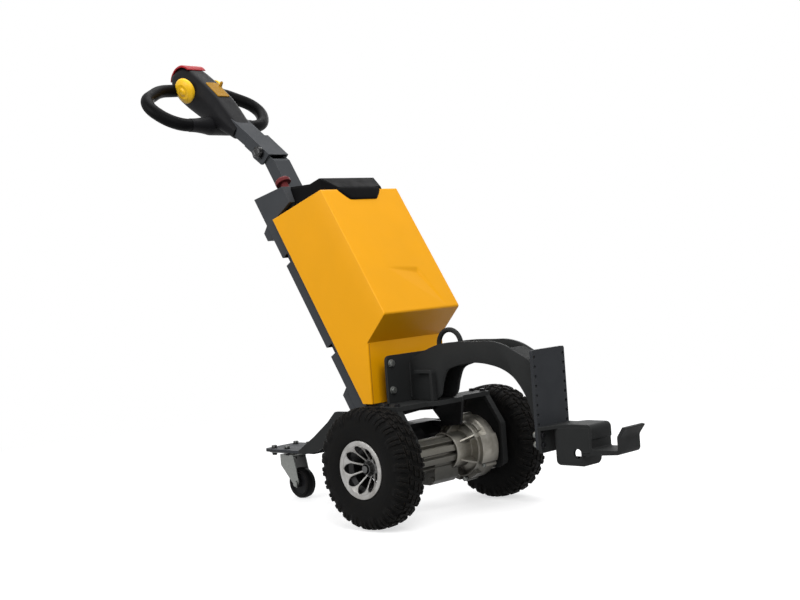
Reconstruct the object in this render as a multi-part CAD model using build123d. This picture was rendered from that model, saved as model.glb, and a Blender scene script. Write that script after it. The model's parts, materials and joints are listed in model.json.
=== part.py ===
from build123d import *
import os
from math import asin, cos, pi, radians, sin, tan

# Walk-behind electric tow tug, in millimetres.
# X runs forward to the hook, Y to the left, Z up. Shapes are placed from the drive axle line,
# and the finished machine is then moved so that the origin lies under the middle of its length.

# Drive wheels
wheel_radius = 155.0
wheel_track = 476.5
tyre_width = 90.6
tyre_crown_drop = 7.0
tyre_wall = 9.0
lug_count = 26
rim_flange_radius = 73.7
rim_half_width = 43.2
bead_radius = 64.0
rim_wall = 5.0
rim_lip_inner_radius = 58.5
spoke_count = 9
spoke_thickness = 7.0
hub_radius = 14.0
hub_root_radius = 26.0
shaft_radius = 12.5
bearing_clearance = 0.05

# Cover over the battery
cover_width = 286.8
cover_wall = 3.0
cover_lean = 31.2
cover_foot_x = -115.0
cover_foot_z = 301.0
cover_foot_depth = 33.0
cover_lower_front = 160.0
undercut_depth = 71.0
undercut_rise = 74.0
cover_back_length = 591.0
cover_front_length = 394.0

# Spine housing and mast behind the cover
spine_width = 270.0
spine_depth = 38.0
spine_wall = 3.0
box_front = -80.0
box_rear_rise = 95.0
box_front_rise = 54.0
mast_width = 60.0
mast_head = 10.0
mast_mitre = 50.0
mast_wall = 4.0

# Control arm
arm_angle = 35.5
arm_width = 60.0
arm_height = 38.0
arm_wall = 4.0
yoke_side = 6.0
yoke_gap = 1.0
pivot_s = 846.0
pivot_d = 28.0
pivot_bolt_radius = 6.0
loop_tube_radius = 19.0
loop_tilt = 42.0
loop_centre_a = 320.0
loop_centre_b = -32.4
loop_front = -83.0
loop_front_corner_y = 174.0
loop_side = 24.0
loop_side_y = 226.0
loop_rear = 102.0
loop_rear_corner_y = 119.0
loop_radii = (88.0, 62.0, 120.0)
head_half_width = 46.0

# Tow frame
deck_top = 300.0
deck_thickness = 12.0
deck_rear_x = -156.0
arm_front_x = -60.0
bolt_plate_x = -41.0
bolt_plate_thickness = 8.0
bolt_plate_width = 240.0
bolt_plate_top = 424.0
neck_half_gap = 28.0
neck_plate = 8.0
drilled_plate_x = 388.0
drilled_plate_thickness = 8.0
drilled_plate_width = 125.0
drilled_plate_top = 430.0
drilled_plate_bottom = 190.0
hole_rows = 10
hole_pitch = 23.3
hole_columns_apart = 111.4
hole_radius = 4.5
first_hole_z = 412.0

# Hitch
hitch_half_width = 39.0
hitch_wall = 8.0
hitch_top = 251.0
hitch_bottom = 150.0
hitch_rear_x = 423.0
hitch_front_x = 502.0
hitch_hole_radius = 12.0
hitch_hole_x = 493.0
hitch_hole_z = 181.0
sheet_bend_x = 470.0
hook_wall_x = 529.0
hook_bottom = 184.0
hook_plate = 9.0
hook_front_x = 618.0
hook_lip_top = 247.0

# Rear castor
castor_x = -582.0
castor_trail = 36.0
castor_wheel_radius = 45.0
castor_wheel_width = 32.0
castor_plate_top = 150.0
castor_arm_plate = 8.0
castor_bolts_x = 57.0
castor_bolts_y = 84.0
castor_half_width = 66.0

os.makedirs("parts", exist_ok=True)
deck_under = deck_top - deck_thickness
box_rear_height = cover_back_length + box_rear_rise
box_front_height = cover_back_length + box_front_rise
lean_sin = sin(radians(cover_lean))
lean_cos = cos(radians(cover_lean))
arm_cos = cos(radians(arm_angle))
arm_sin = sin(radians(arm_angle))


def on_spine(along, behind):
    """Side-view point: distance up the leaning back edge of the cover, and distance behind it."""
    x = cover_foot_x - along * lean_sin - behind * lean_cos
    z = cover_foot_z + along * lean_cos - behind * lean_sin
    return (x, z)


def spine_point(height, behind):
    """Point at a given distance behind the back edge, where it reaches a height above the ground."""
    along = (height - cover_foot_z + behind * lean_sin) / lean_cos
    return on_spine(along, behind)


pivot_x, pivot_z = on_spine(pivot_s, pivot_d)


def on_arm(along, above):
    """Side-view point: distance up the control arm from its pivot, and height square to it."""
    x = pivot_x - along * arm_cos + above * arm_sin
    z = pivot_z + along * arm_sin + above * arm_cos
    return (x, z)


def side_prism(outline, y_from, y_to):
    """Side-view outline, as points or a sketch, made solid between two stations across."""
    sketch = outline if isinstance(outline, (Compound, Sketch)) else Polygon(*outline, align=None)
    return extrude(Plane.XZ.offset(-y_from) * sketch, amount=y_to - y_from, dir=(0, 1, 0))


def centred_prism(outline, width):
    """Side-view outline made solid, half its width to each side."""
    return side_prism(outline, -width / 2, width / 2)


def turned(profile, y=0.0, x=0.0, z=wheel_radius):
    """Solid of revolution about a line across the machine; profile points are (radius, station)."""
    return Pos(x, y, z) * revolve(Polygon(*profile, align=None), Axis.Y)


def rod(radius, y_from, y_to, x=0.0, z=wheel_radius):
    """Round bar across the machine."""
    return Pos(x, (y_from + y_to) / 2, z) * Rot(90, 0, 0) * Cylinder(radius, y_to - y_from)


def rounded(points, radii):
    """Polygon whose corners are rounded one by one; a radius of 0 leaves a corner sharp."""
    sketch = Polygon(*points, align=None)
    for point, radius in zip(points, radii):
        if radius > 0:
            corner = sketch.vertices().sort_by_distance(Vector(point[0], point[1], 0))[0]
            sketch = fillet(corner, radius)
    return sketch


nodes = {}

# Tyre: open horseshoe section, turned, with three staggered rows of lugs
carcass_radius = wheel_radius - tyre_crown_drop
half_tyre = tyre_width / 2
shoulder_radius = wheel_radius - 11
bead_seat_y = rim_half_width - rim_wall
tyre_outer = [
    (bead_radius, -bead_seat_y + 1),
    (rim_flange_radius, -bead_seat_y),
    (rim_flange_radius + 6, -half_tyre + 3),
    (rim_flange_radius + 30, -half_tyre),
    (shoulder_radius - 8, -half_tyre + 2.5),
    (carcass_radius, -half_tyre + 12),
]
tyre_inner = [
    (carcass_radius - tyre_wall, half_tyre - 18),
    (bead_radius + 36, half_tyre - tyre_wall),
    (bead_radius, rim_half_width - 21),
]
tyre_section = tyre_outer + [(r, -y) for r, y in reversed(tyre_outer)]
tyre_section += [(bead_radius, rim_half_width - 21)] + [(r, y) for r, y in reversed(tyre_inner[:2])]
tyre_section += [(r, -y) for r, y in tyre_inner]
tyre = turned(tyre_section, z=0)

# Lug profiles: (radius, station), from inside the tread's wall out to the tip
side_lug = [
    (120, half_tyre - 2.1),
    (140, half_tyre),
    (wheel_radius - 6, half_tyre - 3),
    (wheel_radius - 1, half_tyre - 12),
    (wheel_radius - 1, 21),
    (carcass_radius - 5, 20),
    (carcass_radius - 7, 32),
    (126, 40),
]
centre_lug = [
    (carcass_radius - 5, -14),
    (wheel_radius, -13),
    (wheel_radius, 13),
    (carcass_radius - 5, 14),
]
# columns: profile, share of the pitch filled, turn in pitches
lug_rows = [
    (side_lug, 0.60, 0.0),
    ([(r, -y) for r, y in side_lug], 0.60, 0.0),
    (centre_lug, 0.68, 0.5),
]
lug_pitch = 2 * pi * wheel_radius / lug_count
for profile, share, turn in lug_rows:
    lug = extrude(Polygon(*profile, align=None), amount=lug_pitch * share / 2, both=True)
    tyre += [Rot(0, (i + turn) * 360 / lug_count, 0) * lug for i in range(lug_count)]

# Rim: turned barrel, dished disc with petal windows, and a tapered hub
rim_half = [
    (rim_flange_radius, rim_half_width),
    (rim_flange_radius, bead_seat_y),
    (bead_radius, bead_seat_y - 1),
    (bead_radius, rim_half_width - 20),
    (bead_radius - 8, rim_half_width - 27),
]
rim_bore = [
    (bead_radius - 8 - rim_wall, rim_half_width - 27),
    (bead_radius - rim_wall, rim_half_width - 18),
    (rim_lip_inner_radius, rim_half_width - 6),
    (rim_lip_inner_radius, rim_half_width),
]
barrel = rim_half + [(r, -y) for r, y in reversed(rim_half)]
barrel += [(r, -y) for r, y in reversed(rim_bore)] + rim_bore
rim = turned(barrel, z=0)

hub_face = -rim_half_width + 20
dish_y = -rim_half_width + 32
dish = Polygon(
    (shaft_radius, hub_face),
    (hub_radius, hub_face),
    (hub_root_radius - 4, dish_y),
    (rim_lip_inner_radius + 1, -rim_half_width + 2),
    (rim_lip_inner_radius + 1, -rim_half_width + 2 + spoke_thickness),
    (hub_root_radius, dish_y + spoke_thickness),
    (hub_root_radius, rim_half_width - 8),
    (shaft_radius, rim_half_width - 8),
    align=None,
)
disc = revolve(dish, Axis.Y)
petal_inner, petal_inner_radius = 28.0, 3.6
petal_outer, petal_outer_radius = 44.6, 13.0
slant = asin((petal_outer_radius - petal_inner_radius) / (petal_outer - petal_inner))
petal = Circle(petal_outer_radius).moved(Location((petal_outer, 0)))
petal += Circle(petal_inner_radius).moved(Location((petal_inner, 0)))
petal += Polygon(
    (petal_inner - petal_inner_radius * sin(slant), petal_inner_radius * cos(slant)),
    (petal_outer - petal_outer_radius * sin(slant), petal_outer_radius * cos(slant)),
    (petal_outer - petal_outer_radius * sin(slant), -petal_outer_radius * cos(slant)),
    (petal_inner - petal_inner_radius * sin(slant), -petal_inner_radius * cos(slant)),
    align=None,
)
petals = Sketch() + [Rot(0, 0, i * 360 / spoke_count) * petal for i in range(spoke_count)]
disc = disc - side_prism(petals, -rim_half_width - 5, hub_face + 30)
rim = rim + disc

# The right wheel stands outboard face to -Y; the left one is its mirror
axle_y = wheel_track / 2
shaft = rod(shaft_radius, hub_face, 100, z=0) + rod(9, hub_face - 4, hub_face, z=0)
for name, solid in (("tyre", tyre), ("rim", rim), ("drive_shaft", shaft)):
    nodes[name + "_right"] = Pos(0, -axle_y, wheel_radius) * solid
    nodes[name + "_left"] = Pos(0, axle_y, wheel_radius) * mirror(solid, Plane.XZ)

# Fluted axle tube with the sump under it
tube_end = axle_y - 60
flute_count = 10
tube_core = 32.0
tube_outer = 44.0
cup_floor = 48.0
bearing_bore = shaft_radius + bearing_clearance
half_fin = radians(360 / flute_count * 0.27)
fin = Polygon(
    (tube_core - 6, -7.6),
    (tube_outer, -tube_outer * tan(half_fin)),
    (tube_outer, tube_outer * tan(half_fin)),
    (tube_core - 6, 7.6),
    align=None,
)
fluted = Circle(tube_core) + [Rot(0, 0, (i + 0.5) * 360 / flute_count) * fin for i in range(flute_count)]
axle_tube = Pos(0, 0, wheel_radius) * side_prism(fluted, -tube_end + 12, cup_floor)
axle_tube += rod(tube_outer + 3, -tube_end, -tube_end + 12)
axle_tube -= rod(bearing_bore, -tube_end - 1, -tube_end + 60)
sump_outline = [(-50, 132), (-48, 92), (-34, 77), (10, 77), (26, 90), (30, 132)]
sump = side_prism(rounded(sump_outline, [0, 12, 12, 12, 12, 0]), -42, cup_floor)
sump -= rod(50.5, 26, cup_floor + 1)
for boss_x, boss_z in ((-40, 90), (14, 92)):
    sump += rod(8, -47, -42, boss_x, boss_z)
nodes["axle_tube"] = axle_tube + sump

# Gear drum: collar cup round the tube, dished face with thin ribs, and a stepped rim
collar_radius = 50.0
cup_lip = 27.0
rim_face = 82.0
rim_radius = 75.0
drum_end = 158.0
drum_radius = 88.0
drum = turned(
    [
        (0, cup_floor),
        (collar_radius - 4, cup_floor),
        (collar_radius - 4, cup_lip),
        (collar_radius, cup_lip),
        (collar_radius, cup_lip + 5),
        (collar_radius - 2, cup_lip + 7),
        (collar_radius - 2, rim_face + 4),
        (rim_radius - 6, rim_face + 16),
        (rim_radius - 3, rim_face),
        (rim_radius, rim_face),
        (rim_radius, rim_face + 20),
        (drum_radius - 3, rim_face + 34),
        (drum_radius - 3, drum_end - 12),
        (drum_radius - 23, drum_end),
        (0, drum_end),
    ]
)
rib_profile = Polygon(
    (collar_radius - 3, cup_floor - 2),
    (collar_radius, cup_floor - 2),
    (rim_radius - 2, rim_face),
    (rim_radius - 2, rim_face + 20),
    (collar_radius - 3, rim_face + 20),
    align=None,
)
rib = extrude(rib_profile, amount=2.3, both=True)
rib_count = 6
first_rib = 32.0
for i in range(rib_count):
    drum += Pos(0, 0, wheel_radius) * Rot(0, -first_rib - i * 360 / rib_count, 0) * rib
# columns: middle angle up from the front, half angle, outer radius, start and end across
drum_blocks = [
    (0, 25, drum_radius, 86, 148),
    (46, 9, drum_radius - 6, 96, 132),
    (122, 20, drum_radius, 96, 148),
    (180, 24, drum_radius, 96, 148),
    (242, 20, drum_radius, 96, 148),
    (296, 12, drum_radius - 4, 96, 140),
]
for middle, half, outer_radius, y_from, y_to in drum_blocks:
    low, high = radians(middle - half), radians(middle + half)
    far = outer_radius / cos(radians(half)) + 4
    wedge = [(0, 0), (far * cos(low), far * sin(low)), (far * cos(high), far * sin(high))]
    wedge = [(x, z + wheel_radius) for x, z in wedge]
    drum += rod(outer_radius, y_from, y_to) & side_prism(wedge, y_from, y_to)
boss_ring = 83.0
for angle in (92, 152, 212, 272, 328):
    turn = radians(angle)
    drum += rod(8, rim_face + 22, drum_end - 12, boss_ring * cos(turn), wheel_radius + boss_ring * sin(turn))
drum += rod(tube_outer + 3, drum_end, axle_y - 60)
drum -= rod(bearing_bore, axle_y - 105, axle_y - 57)
nodes["gear_drum"] = drum

# Drive motor lying behind the axle tube, its terminal box, and the plate that hangs it from the deck
motor_x = -104.0
motor_z = 170.0
motor_radius = 56.0
motor = rod(motor_radius, -120, 20, motor_x, motor_z) + rod(motor_radius - 8, -128, -120, motor_x, motor_z)
motor += rod(motor_radius - 16, 20, 130, motor_x, motor_z)
motor += side_prism([(-138, 190), (-138, 231), (-74, 231), (-74, 190)], -72, 108)
hanging_plate = [(-80, deck_under), (-68, 261), (-40, 231), (-90, 231), (-90, 214), (30, 222), (40, deck_under)]
motor += side_prism(hanging_plate, 68, 76)
nodes["drive_motor"] = motor - drum

# Hangers: a plate outboard of each end of the transaxle, with a folded front flange
hanger_y = 160.0
hanger_plate = 8.0
hanger_flange = 18.0
hanger_top_front = 44.0
hanger_outline = [
    (-22, deck_under),
    (hanger_top_front, deck_under),
    (92, 216),
    (92, 108),
    (60, 92),
    (-50, 108),
    (-70, 160),
    (-70, 215),
]
hanger_pocket = [
    (-100, deck_under - hanger_plate),
    (hanger_top_front - 5, deck_under - hanger_plate),
    (92 - hanger_plate, 213),
    (92 - hanger_plate, 80),
    (-100, 80),
]
hanger = side_prism(rounded(hanger_outline, [0, 0, 12, 12, 12, 12, 8, 8]), hanger_y, hanger_y + hanger_flange)
hanger -= side_prism(hanger_pocket, hanger_y - 1, hanger_y + hanger_flange - hanger_plate)
hanger_hole = rod(tube_outer + 3, hanger_y - 1, hanger_y + hanger_flange + 1)
hanger = hanger - hanger_hole
nodes["hanger_left"] = hanger
nodes["hanger_right"] = mirror(hanger, Plane.XZ)

# Deck plate, with a wing to each side over the hangers, that carries the cover, the tow frame and the hangers
deck_outline = [
    (deck_rear_x, -118),
    (-22, -118),
    (-22, -hanger_y - hanger_flange),
    (hanger_top_front, -hanger_y - hanger_flange),
    (hanger_top_front, -70),
    (64, -46),
    (64, 46),
    (hanger_top_front, 70),
    (hanger_top_front, hanger_y + hanger_flange),
    (-22, hanger_y + hanger_flange),
    (-22, 118),
    (deck_rear_x, 118),
]
deck = extrude(Pos(0, 0, deck_top - deck_thickness) * Polygon(*deck_outline, align=None), amount=deck_thickness)
nodes["deck_plate"] = deck

# Rear arm: castor plate between two curved side plates that rise to the deck
arm_side_outline = [
    (-478, castor_plate_top),
    (-407, 193),
    (-345, 236),
    (-312, 266),
    (-190, 268),
    (deck_rear_x, deck_under),
    (arm_front_x, deck_under),
    (arm_front_x, 262),
    (-110, 258),
    (-262, 224),
    (-330, 190),
    (-400, 150),
    (-445, castor_plate_top - castor_arm_plate),
    (-478, castor_plate_top - castor_arm_plate),
]
arm_side = rounded(arm_side_outline, [0, 60, 60, 14, 0, 0, 0, 0, 0, 60, 60, 40, 0, 0])
side_y = castor_half_width - castor_arm_plate
rear_arm = side_prism(arm_side, -castor_half_width, -side_y)
rear_arm += side_prism(arm_side, side_y, castor_half_width)
castor_plate = Polygon(
    (-634, -castor_half_width),
    (-478, -castor_half_width),
    (-478, castor_half_width),
    (-634, castor_half_width),
    align=None,
)
castor_plate = fillet(castor_plate.vertices().group_by(Axis.X)[0], 22)
castor_plate += Rectangle(60, 2 * side_y).moved(Location((-478 + 28, 0)))
plate_base = castor_plate_top - castor_arm_plate
castor_plate = extrude(Pos(0, 0, plate_base) * castor_plate, amount=castor_arm_plate)
castor_holes = GridLocations(castor_bolts_x, castor_bolts_y, 2, 2).locations
for spot in castor_holes:
    castor_plate -= Pos(castor_x, 0, plate_base) * spot * Cylinder(4.2, 40)
web_outline = [
    (-440, castor_plate_top),
    (-400, castor_plate_top + 26),
    (-330, 228),
    (-300, 260),
    (-150, 280),
    (-150, 272),
    (-295, 252),
    (-325, 220),
    (-396, castor_plate_top + 17),
    (-430, castor_plate_top),
]
nodes["castor_plate"] = castor_plate
nodes["rear_arm"] = rear_arm + side_prism(web_outline, -side_y, side_y)

# Castor: top plate and ball race fixed to the arm, fork and wheel below
race_top = plate_base
castor_top = extrude(Pos(0, 0, race_top - 4) * Rectangle(castor_bolts_x + 26, castor_bolts_y + 24), amount=4)
castor_top = Pos(castor_x, 0, 0) * fillet(castor_top.edges().filter_by(Axis.Z), 8)
for spot in castor_holes:
    castor_top -= Pos(castor_x, 0, race_top) * spot * Cylinder(4.2, 30)
castor_top += Pos(castor_x, 0, race_top - 7) * Cylinder(25, 6)
castor_top += Pos(castor_x, 0, race_top - 16) * Cylinder(8, 26)
castor_top += Pos(castor_x, 0, race_top - 26) * Cylinder(13, 6)
for spot in castor_holes:
    bolt = Cylinder(4.2, castor_arm_plate + 10) + Pos(0, 0, castor_arm_plate / 2 + 8) * Cylinder(7.5, 6)
    bolt += Pos(0, 0, -castor_arm_plate / 2 - 7.5) * Cylinder(6.5, 5)
    castor_top += Pos(castor_x, 0, plate_base + 1) * spot * bolt
nodes["castor_top"] = castor_top

fork_top = race_top - 10.5
fork_half = castor_wheel_width / 2 + 5
wheel_x = castor_x + castor_trail
wheel_z = castor_wheel_radius
fork_crown = Pos(castor_x, 0, fork_top - 6) * Cylinder(27, 12)
fork_cheek = [
    (castor_x - 26, fork_top - 3),
    (castor_x + 30, fork_top - 3),
    (wheel_x + 12, wheel_z + 4),
    (wheel_x, wheel_z - 12),
    (wheel_x - 12, wheel_z - 2),
    (castor_x - 26, fork_top - 34),
]
cheek = rounded(fork_cheek, [4, 4, 10, 0, 10, 10])
fork = side_prism(cheek, fork_half, fork_half + 3.5) + side_prism(cheek, -fork_half - 3.5, -fork_half)
fork += Pos(castor_x + 2, 0, fork_top - 4.5) * Box(56, 2 * fork_half + 7, 3)
fork += Pos(castor_x, 0, fork_top - 2) * Cylinder(24, 4)
fork -= Pos(castor_x, 0, fork_top - 10) * Cylinder(8.05, 40)
axle_hole = rod(5, -fork_half - 10, fork_half + 10, wheel_x, wheel_z)
nodes["castor_fork"] = fork - axle_hole
castor_axle = rod(5, -fork_half - 3.5, fork_half + 3.5, wheel_x, wheel_z)
for side in (-1, 1):
    low = side * (fork_half + 3.5)
    castor_axle += rod(8, min(low, low + side * 5), max(low, low + side * 5), wheel_x, wheel_z)
nodes["castor_axle"] = castor_axle
half_tread = castor_wheel_width / 2
tread = [
    (33, -half_tread),
    (castor_wheel_radius - 6, -half_tread),
    (castor_wheel_radius - 1.5, -half_tread + 5),
    (castor_wheel_radius, 0),
    (castor_wheel_radius - 1.5, half_tread - 5),
    (castor_wheel_radius - 6, half_tread),
    (33, half_tread),
]
nodes["castor_tyre"] = turned(tread, x=wheel_x, z=wheel_z)
castor_hub = [
    (5.05, -half_tread - 4),
    (10, -half_tread - 4),
    (12, -half_tread + 4),
    (30, -half_tread + 4),
    (33, -half_tread),
    (33, half_tread),
    (30, half_tread - 4),
    (12, half_tread - 4),
    (10, half_tread + 4),
    (5.05, half_tread + 4),
]
nodes["castor_hub"] = turned(castor_hub, x=wheel_x, z=wheel_z)

# Cover: bent sheet over the battery, open at the back and below
foot_back = (cover_foot_x, cover_foot_z)
foot_front = (cover_foot_x + cover_foot_depth, cover_foot_z)
undercut = (foot_front[0], cover_foot_z + cover_lower_front)
belly = (undercut[0] + undercut_depth, undercut[1] + undercut_rise)
top_back = (cover_foot_x - cover_back_length * lean_sin, cover_foot_z + cover_back_length * lean_cos)
top_front = (belly[0] - cover_front_length * lean_sin, belly[1] + cover_front_length * lean_cos)
cover_outline = [foot_back, foot_front, undercut, belly, top_front, top_back]
cover = centred_prism(cover_outline, cover_width)
across = cover.edges().filter_by(Axis.Y)
front_edges = across.filter_by(lambda edge: edge.center().X > foot_back[0] - 1 or edge.center().Z > top_back[1] + 5)
cover = fillet(front_edges.filter_by(lambda edge: edge.center().Z > undercut[1] + 2), 6)
back_face = cover.faces().filter_by(lambda face: face.normal_at().X < -0.5).sort_by(SortBy.AREA)[-1]
foot_face = cover.faces().sort_by(Axis.Z)[0]
cover = offset(cover, amount=-cover_wall, openings=[back_face, foot_face])
nodes["cover"] = cover

# Battery inside the cover
battery = centred_prism(
    [on_spine(40, 0), on_spine(330, 0), on_spine(330, -150), on_spine(190, -150), on_spine(60, -42)], 220
)
nodes["battery"] = battery

# Spine housing: folded sheet behind the cover, wider box at its head
skirt_low = 276.0
spine_outline = [
    spine_point(skirt_low, 0),
    on_spine(cover_back_length, 0),
    on_spine(cover_back_length + 2, box_front),
    on_spine(box_front_height, box_front),
    on_spine(box_rear_height, spine_depth),
    spine_point(skirt_low, spine_depth),
]
spine = centred_prism(spine_outline, spine_width)
spine_void = [
    spine_point(skirt_low - 5, -5),
    on_spine(cover_back_length + 2 + spine_wall, -5),
    on_spine(cover_back_length + 2 + spine_wall, box_front + spine_wall),
    on_spine(box_front_height - spine_wall, box_front + spine_wall),
    on_spine(box_rear_height - spine_wall, spine_depth - spine_wall),
    spine_point(skirt_low - 5, spine_depth - spine_wall),
]
spine -= centred_prism(spine_void, spine_width - 2 * spine_wall)
below_deck = [(-230, skirt_low - 20), (-230, deck_top), (-80, deck_top), (-80, skirt_low - 20)]
spine -= centred_prism(below_deck, spine_width - 2 * spine_wall)
# columns: start up the spine, length, depth cut in from the back
notches = [(168, 28, 24), (462, 26, 24)]
for start, length, depth in notches:
    notch = [
        on_spine(start, spine_depth + 1),
        on_spine(start, spine_depth - depth),
        on_spine(start + length, spine_depth - depth),
        on_spine(start + length, spine_depth + 1),
    ]
    spine -= centred_prism(notch, spine_width + 10) - centred_prism(notch, spine_width - 40)
mast_outline = [
    spine_point(deck_top, 0),
    on_spine(pivot_s - mast_mitre, 0),
    on_spine(pivot_s + mast_head, pivot_d - 2),
    on_spine(pivot_s + mast_head, spine_depth),
    spine_point(deck_top, spine_depth),
]
spine -= centred_prism(mast_outline, mast_width)

# Stop button standing on the head of the box, beside the mast
stop_behind = -35.0
stop_sink = 8.6
stop_across = 75.0
box_slope = (box_rear_height - box_front_height) / (spine_depth - box_front)
stop_seat = box_front_height + box_slope * (stop_behind - box_front)
stop_x, stop_z = on_spine(stop_seat - stop_sink, stop_behind)
stop_neck = 34.0
stop_radius = 22.5
stop_profile = [
    (0, 0),
    (11, 0),
    (11, stop_neck),
    (stop_radius, stop_neck + 1),
    (stop_radius, stop_neck + 10),
    (stop_radius - 4, stop_neck + 15),
    (stop_radius - 11, stop_neck + 18),
    (0, stop_neck + 18.5),
]
stop = Rot(90, 0, 0) * revolve(Polygon(*stop_profile, align=None), Axis.Y)
stop = Pos(stop_x, -stop_across, stop_z) * Rot(0, -cover_lean, 0) * stop
nodes["stop_button"] = stop
nodes["spine_housing"] = spine - stop

# Brackets that wrap the spine's back near its head and at its foot
for name, start, length in (("spine_bracket_upper", 552, 50), ("spine_bracket_lower", -8, 84)):
    reach = 28
    bracket = [
        on_spine(start, spine_depth),
        on_spine(start + length, spine_depth),
        on_spine(start + length - 12, spine_depth + reach),
        on_spine(start + 12, spine_depth + reach),
    ]
    wrap = centred_prism(bracket, spine_width - 10) - centred_prism(bracket, spine_width - 90)
    nodes[name] = wrap - deck

# Mast: rectangular tube from the deck to the arm's pivot
mast = centred_prism(mast_outline, mast_width)
bore_outline = [
    spine_point(deck_top - 5, mast_wall),
    on_spine(pivot_s + 60, mast_wall),
    on_spine(pivot_s + 60, spine_depth - mast_wall),
    spine_point(deck_top - 5, spine_depth - mast_wall),
]
mast -= centred_prism(bore_outline, mast_width - 2 * mast_wall)
mast -= rod(pivot_bolt_radius + bearing_clearance, -50, 50, pivot_x, pivot_z)
nodes["mast"] = mast

# Black cap over the head of the cover, with a tapering lip over its front edge
cap_half = 97.0
cap_skin = 3.0
lip_drop = 33.0
face = Plane(origin=(top_front[0], 0, top_front[1]), x_dir=(0, 1, 0), z_dir=(lean_cos, 0, lean_sin))
lip_top = face.from_local_coords(Vector(0, 0, cap_skin))
lip_low = face.from_local_coords(Vector(0, -8, cap_skin))
cap_outline = [
    on_spine(cover_back_length + 2, box_front - 0.5),
    top_front,
    (lip_low.X - 10, lip_low.Z),
    (lip_low.X, lip_low.Z),
    (lip_top.X, lip_top.Z),
    (-262, 907),
    (-300, 893),
    on_spine(box_front_height - 2, box_front - 0.5),
]
cap = centred_prism(cap_outline, 2 * cap_half + 37)
lip = Polygon((-79, -4), (79, -4), (50, -lip_drop), (-50, -lip_drop), align=None)
cap += extrude(face * lip, amount=cap_skin)
nodes["top_cap"] = cap - centred_prism(cover_outline, cover_width) - cover

# Bolt plate at the foot of the cover
bolt_plate = Pos(bolt_plate_x - bolt_plate_thickness / 2, 0, (bolt_plate_top + deck_top) / 2) * Box(
    bolt_plate_thickness, bolt_plate_width, bolt_plate_top - deck_top
)
nodes["bolt_plate"] = fillet(bolt_plate.edges().filter_by(Axis.X).group_by(Axis.Z)[-1], 14)

# Tow frame: two curved side plates, a cross web, the drilled plate
neck_outline = [
    (bolt_plate_x, deck_top),
    (bolt_plate_x, 405),
    (17, 430),
    (65, 445),
    (126, 451),
    (252, 450),
    (290, 440),
    (322, 424),
    (355, 407),
    (drilled_plate_x, 380),
    (drilled_plate_x, drilled_plate_bottom + 20),
    (372, 240),
    (341, 323),
    (306, 365),
    (275, 382),
    (243, 391),
    (91, 386),
    (56, deck_top),
]
neck = Polygon(*neck_outline, align=None)
nodes["neck_right"] = side_prism(neck, -neck_half_gap - neck_plate, -neck_half_gap)
nodes["neck_left"] = side_prism(neck, neck_half_gap, neck_half_gap + neck_plate)
neck_web = [(300, 434), (340, 414), (drilled_plate_x, 392), (drilled_plate_x, 384), (338, 405), (298, 425)]
nodes["neck_web"] = side_prism(neck_web, -neck_half_gap, neck_half_gap)

plate_height = drilled_plate_top - drilled_plate_bottom
drilled = Pos(drilled_plate_x + drilled_plate_thickness / 2, 0, drilled_plate_bottom + plate_height / 2) * Box(
    drilled_plate_thickness, drilled_plate_width, plate_height
)
drilled = fillet(drilled.edges().filter_by(Axis.X), 6)
for row in range(hole_rows):
    hole_z = first_hole_z - row * hole_pitch
    for side in (-1, 1):
        hole = Pos(drilled_plate_x, side * hole_columns_apart / 2, hole_z) * Rot(0, 90, 0) * Cylinder(hole_radius, 40)
        drilled -= hole
nodes["drilled_plate"] = drilled

# Lifting ring: a bent rod standing on a cross plate between the side plates
ring_x = 76.0
ring_rod = 6.5
ring_radius = 38.0
ring_top = 480.0
ring_foot = 398.0
ring_path = FilletPolyline(
    (ring_x - ring_radius, 0, ring_foot),
    (ring_x - ring_radius, 0, ring_top),
    (ring_x + ring_radius, 0, ring_top),
    (ring_x + ring_radius, 0, ring_foot),
    radius=ring_radius - 0.5,
)
ring = sweep(Plane(origin=ring_path @ 0, z_dir=ring_path % 0) * Circle(ring_rod), path=ring_path)
foot_plate = Box(2 * ring_radius + 20, 2 * neck_half_gap, 8)
nodes["lifting_ring"] = ring + Pos(ring_x, 0, ring_foot - 4) * foot_plate

# Bent strap beside the tow frame
strap_y = -neck_half_gap - neck_plate
strap_outline = [(-10, 380), (50, 380), (50, deck_top), (42, deck_top), (42, 372), (-10, 372)]
strap = rounded(strap_outline, [0, 10, 0, 0, 4, 0])
nodes["bent_strap"] = side_prism(strap, strap_y - 15, strap_y)

# Hitch: flange on the drilled plate, and a box whose front leans forward
face_x = drilled_plate_x + drilled_plate_thickness
flange_x = face_x + hitch_wall
flange_bottom = 182.0
hitch_slope = 15 / 72
sheet_rear_z = hitch_top - 7
under_sheet = hitch_top - hitch_wall


def hitch_front(z):
    """Station of the box's leaning front at a height."""
    return hitch_front_x + (z - hitch_bottom) * hitch_slope


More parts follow.
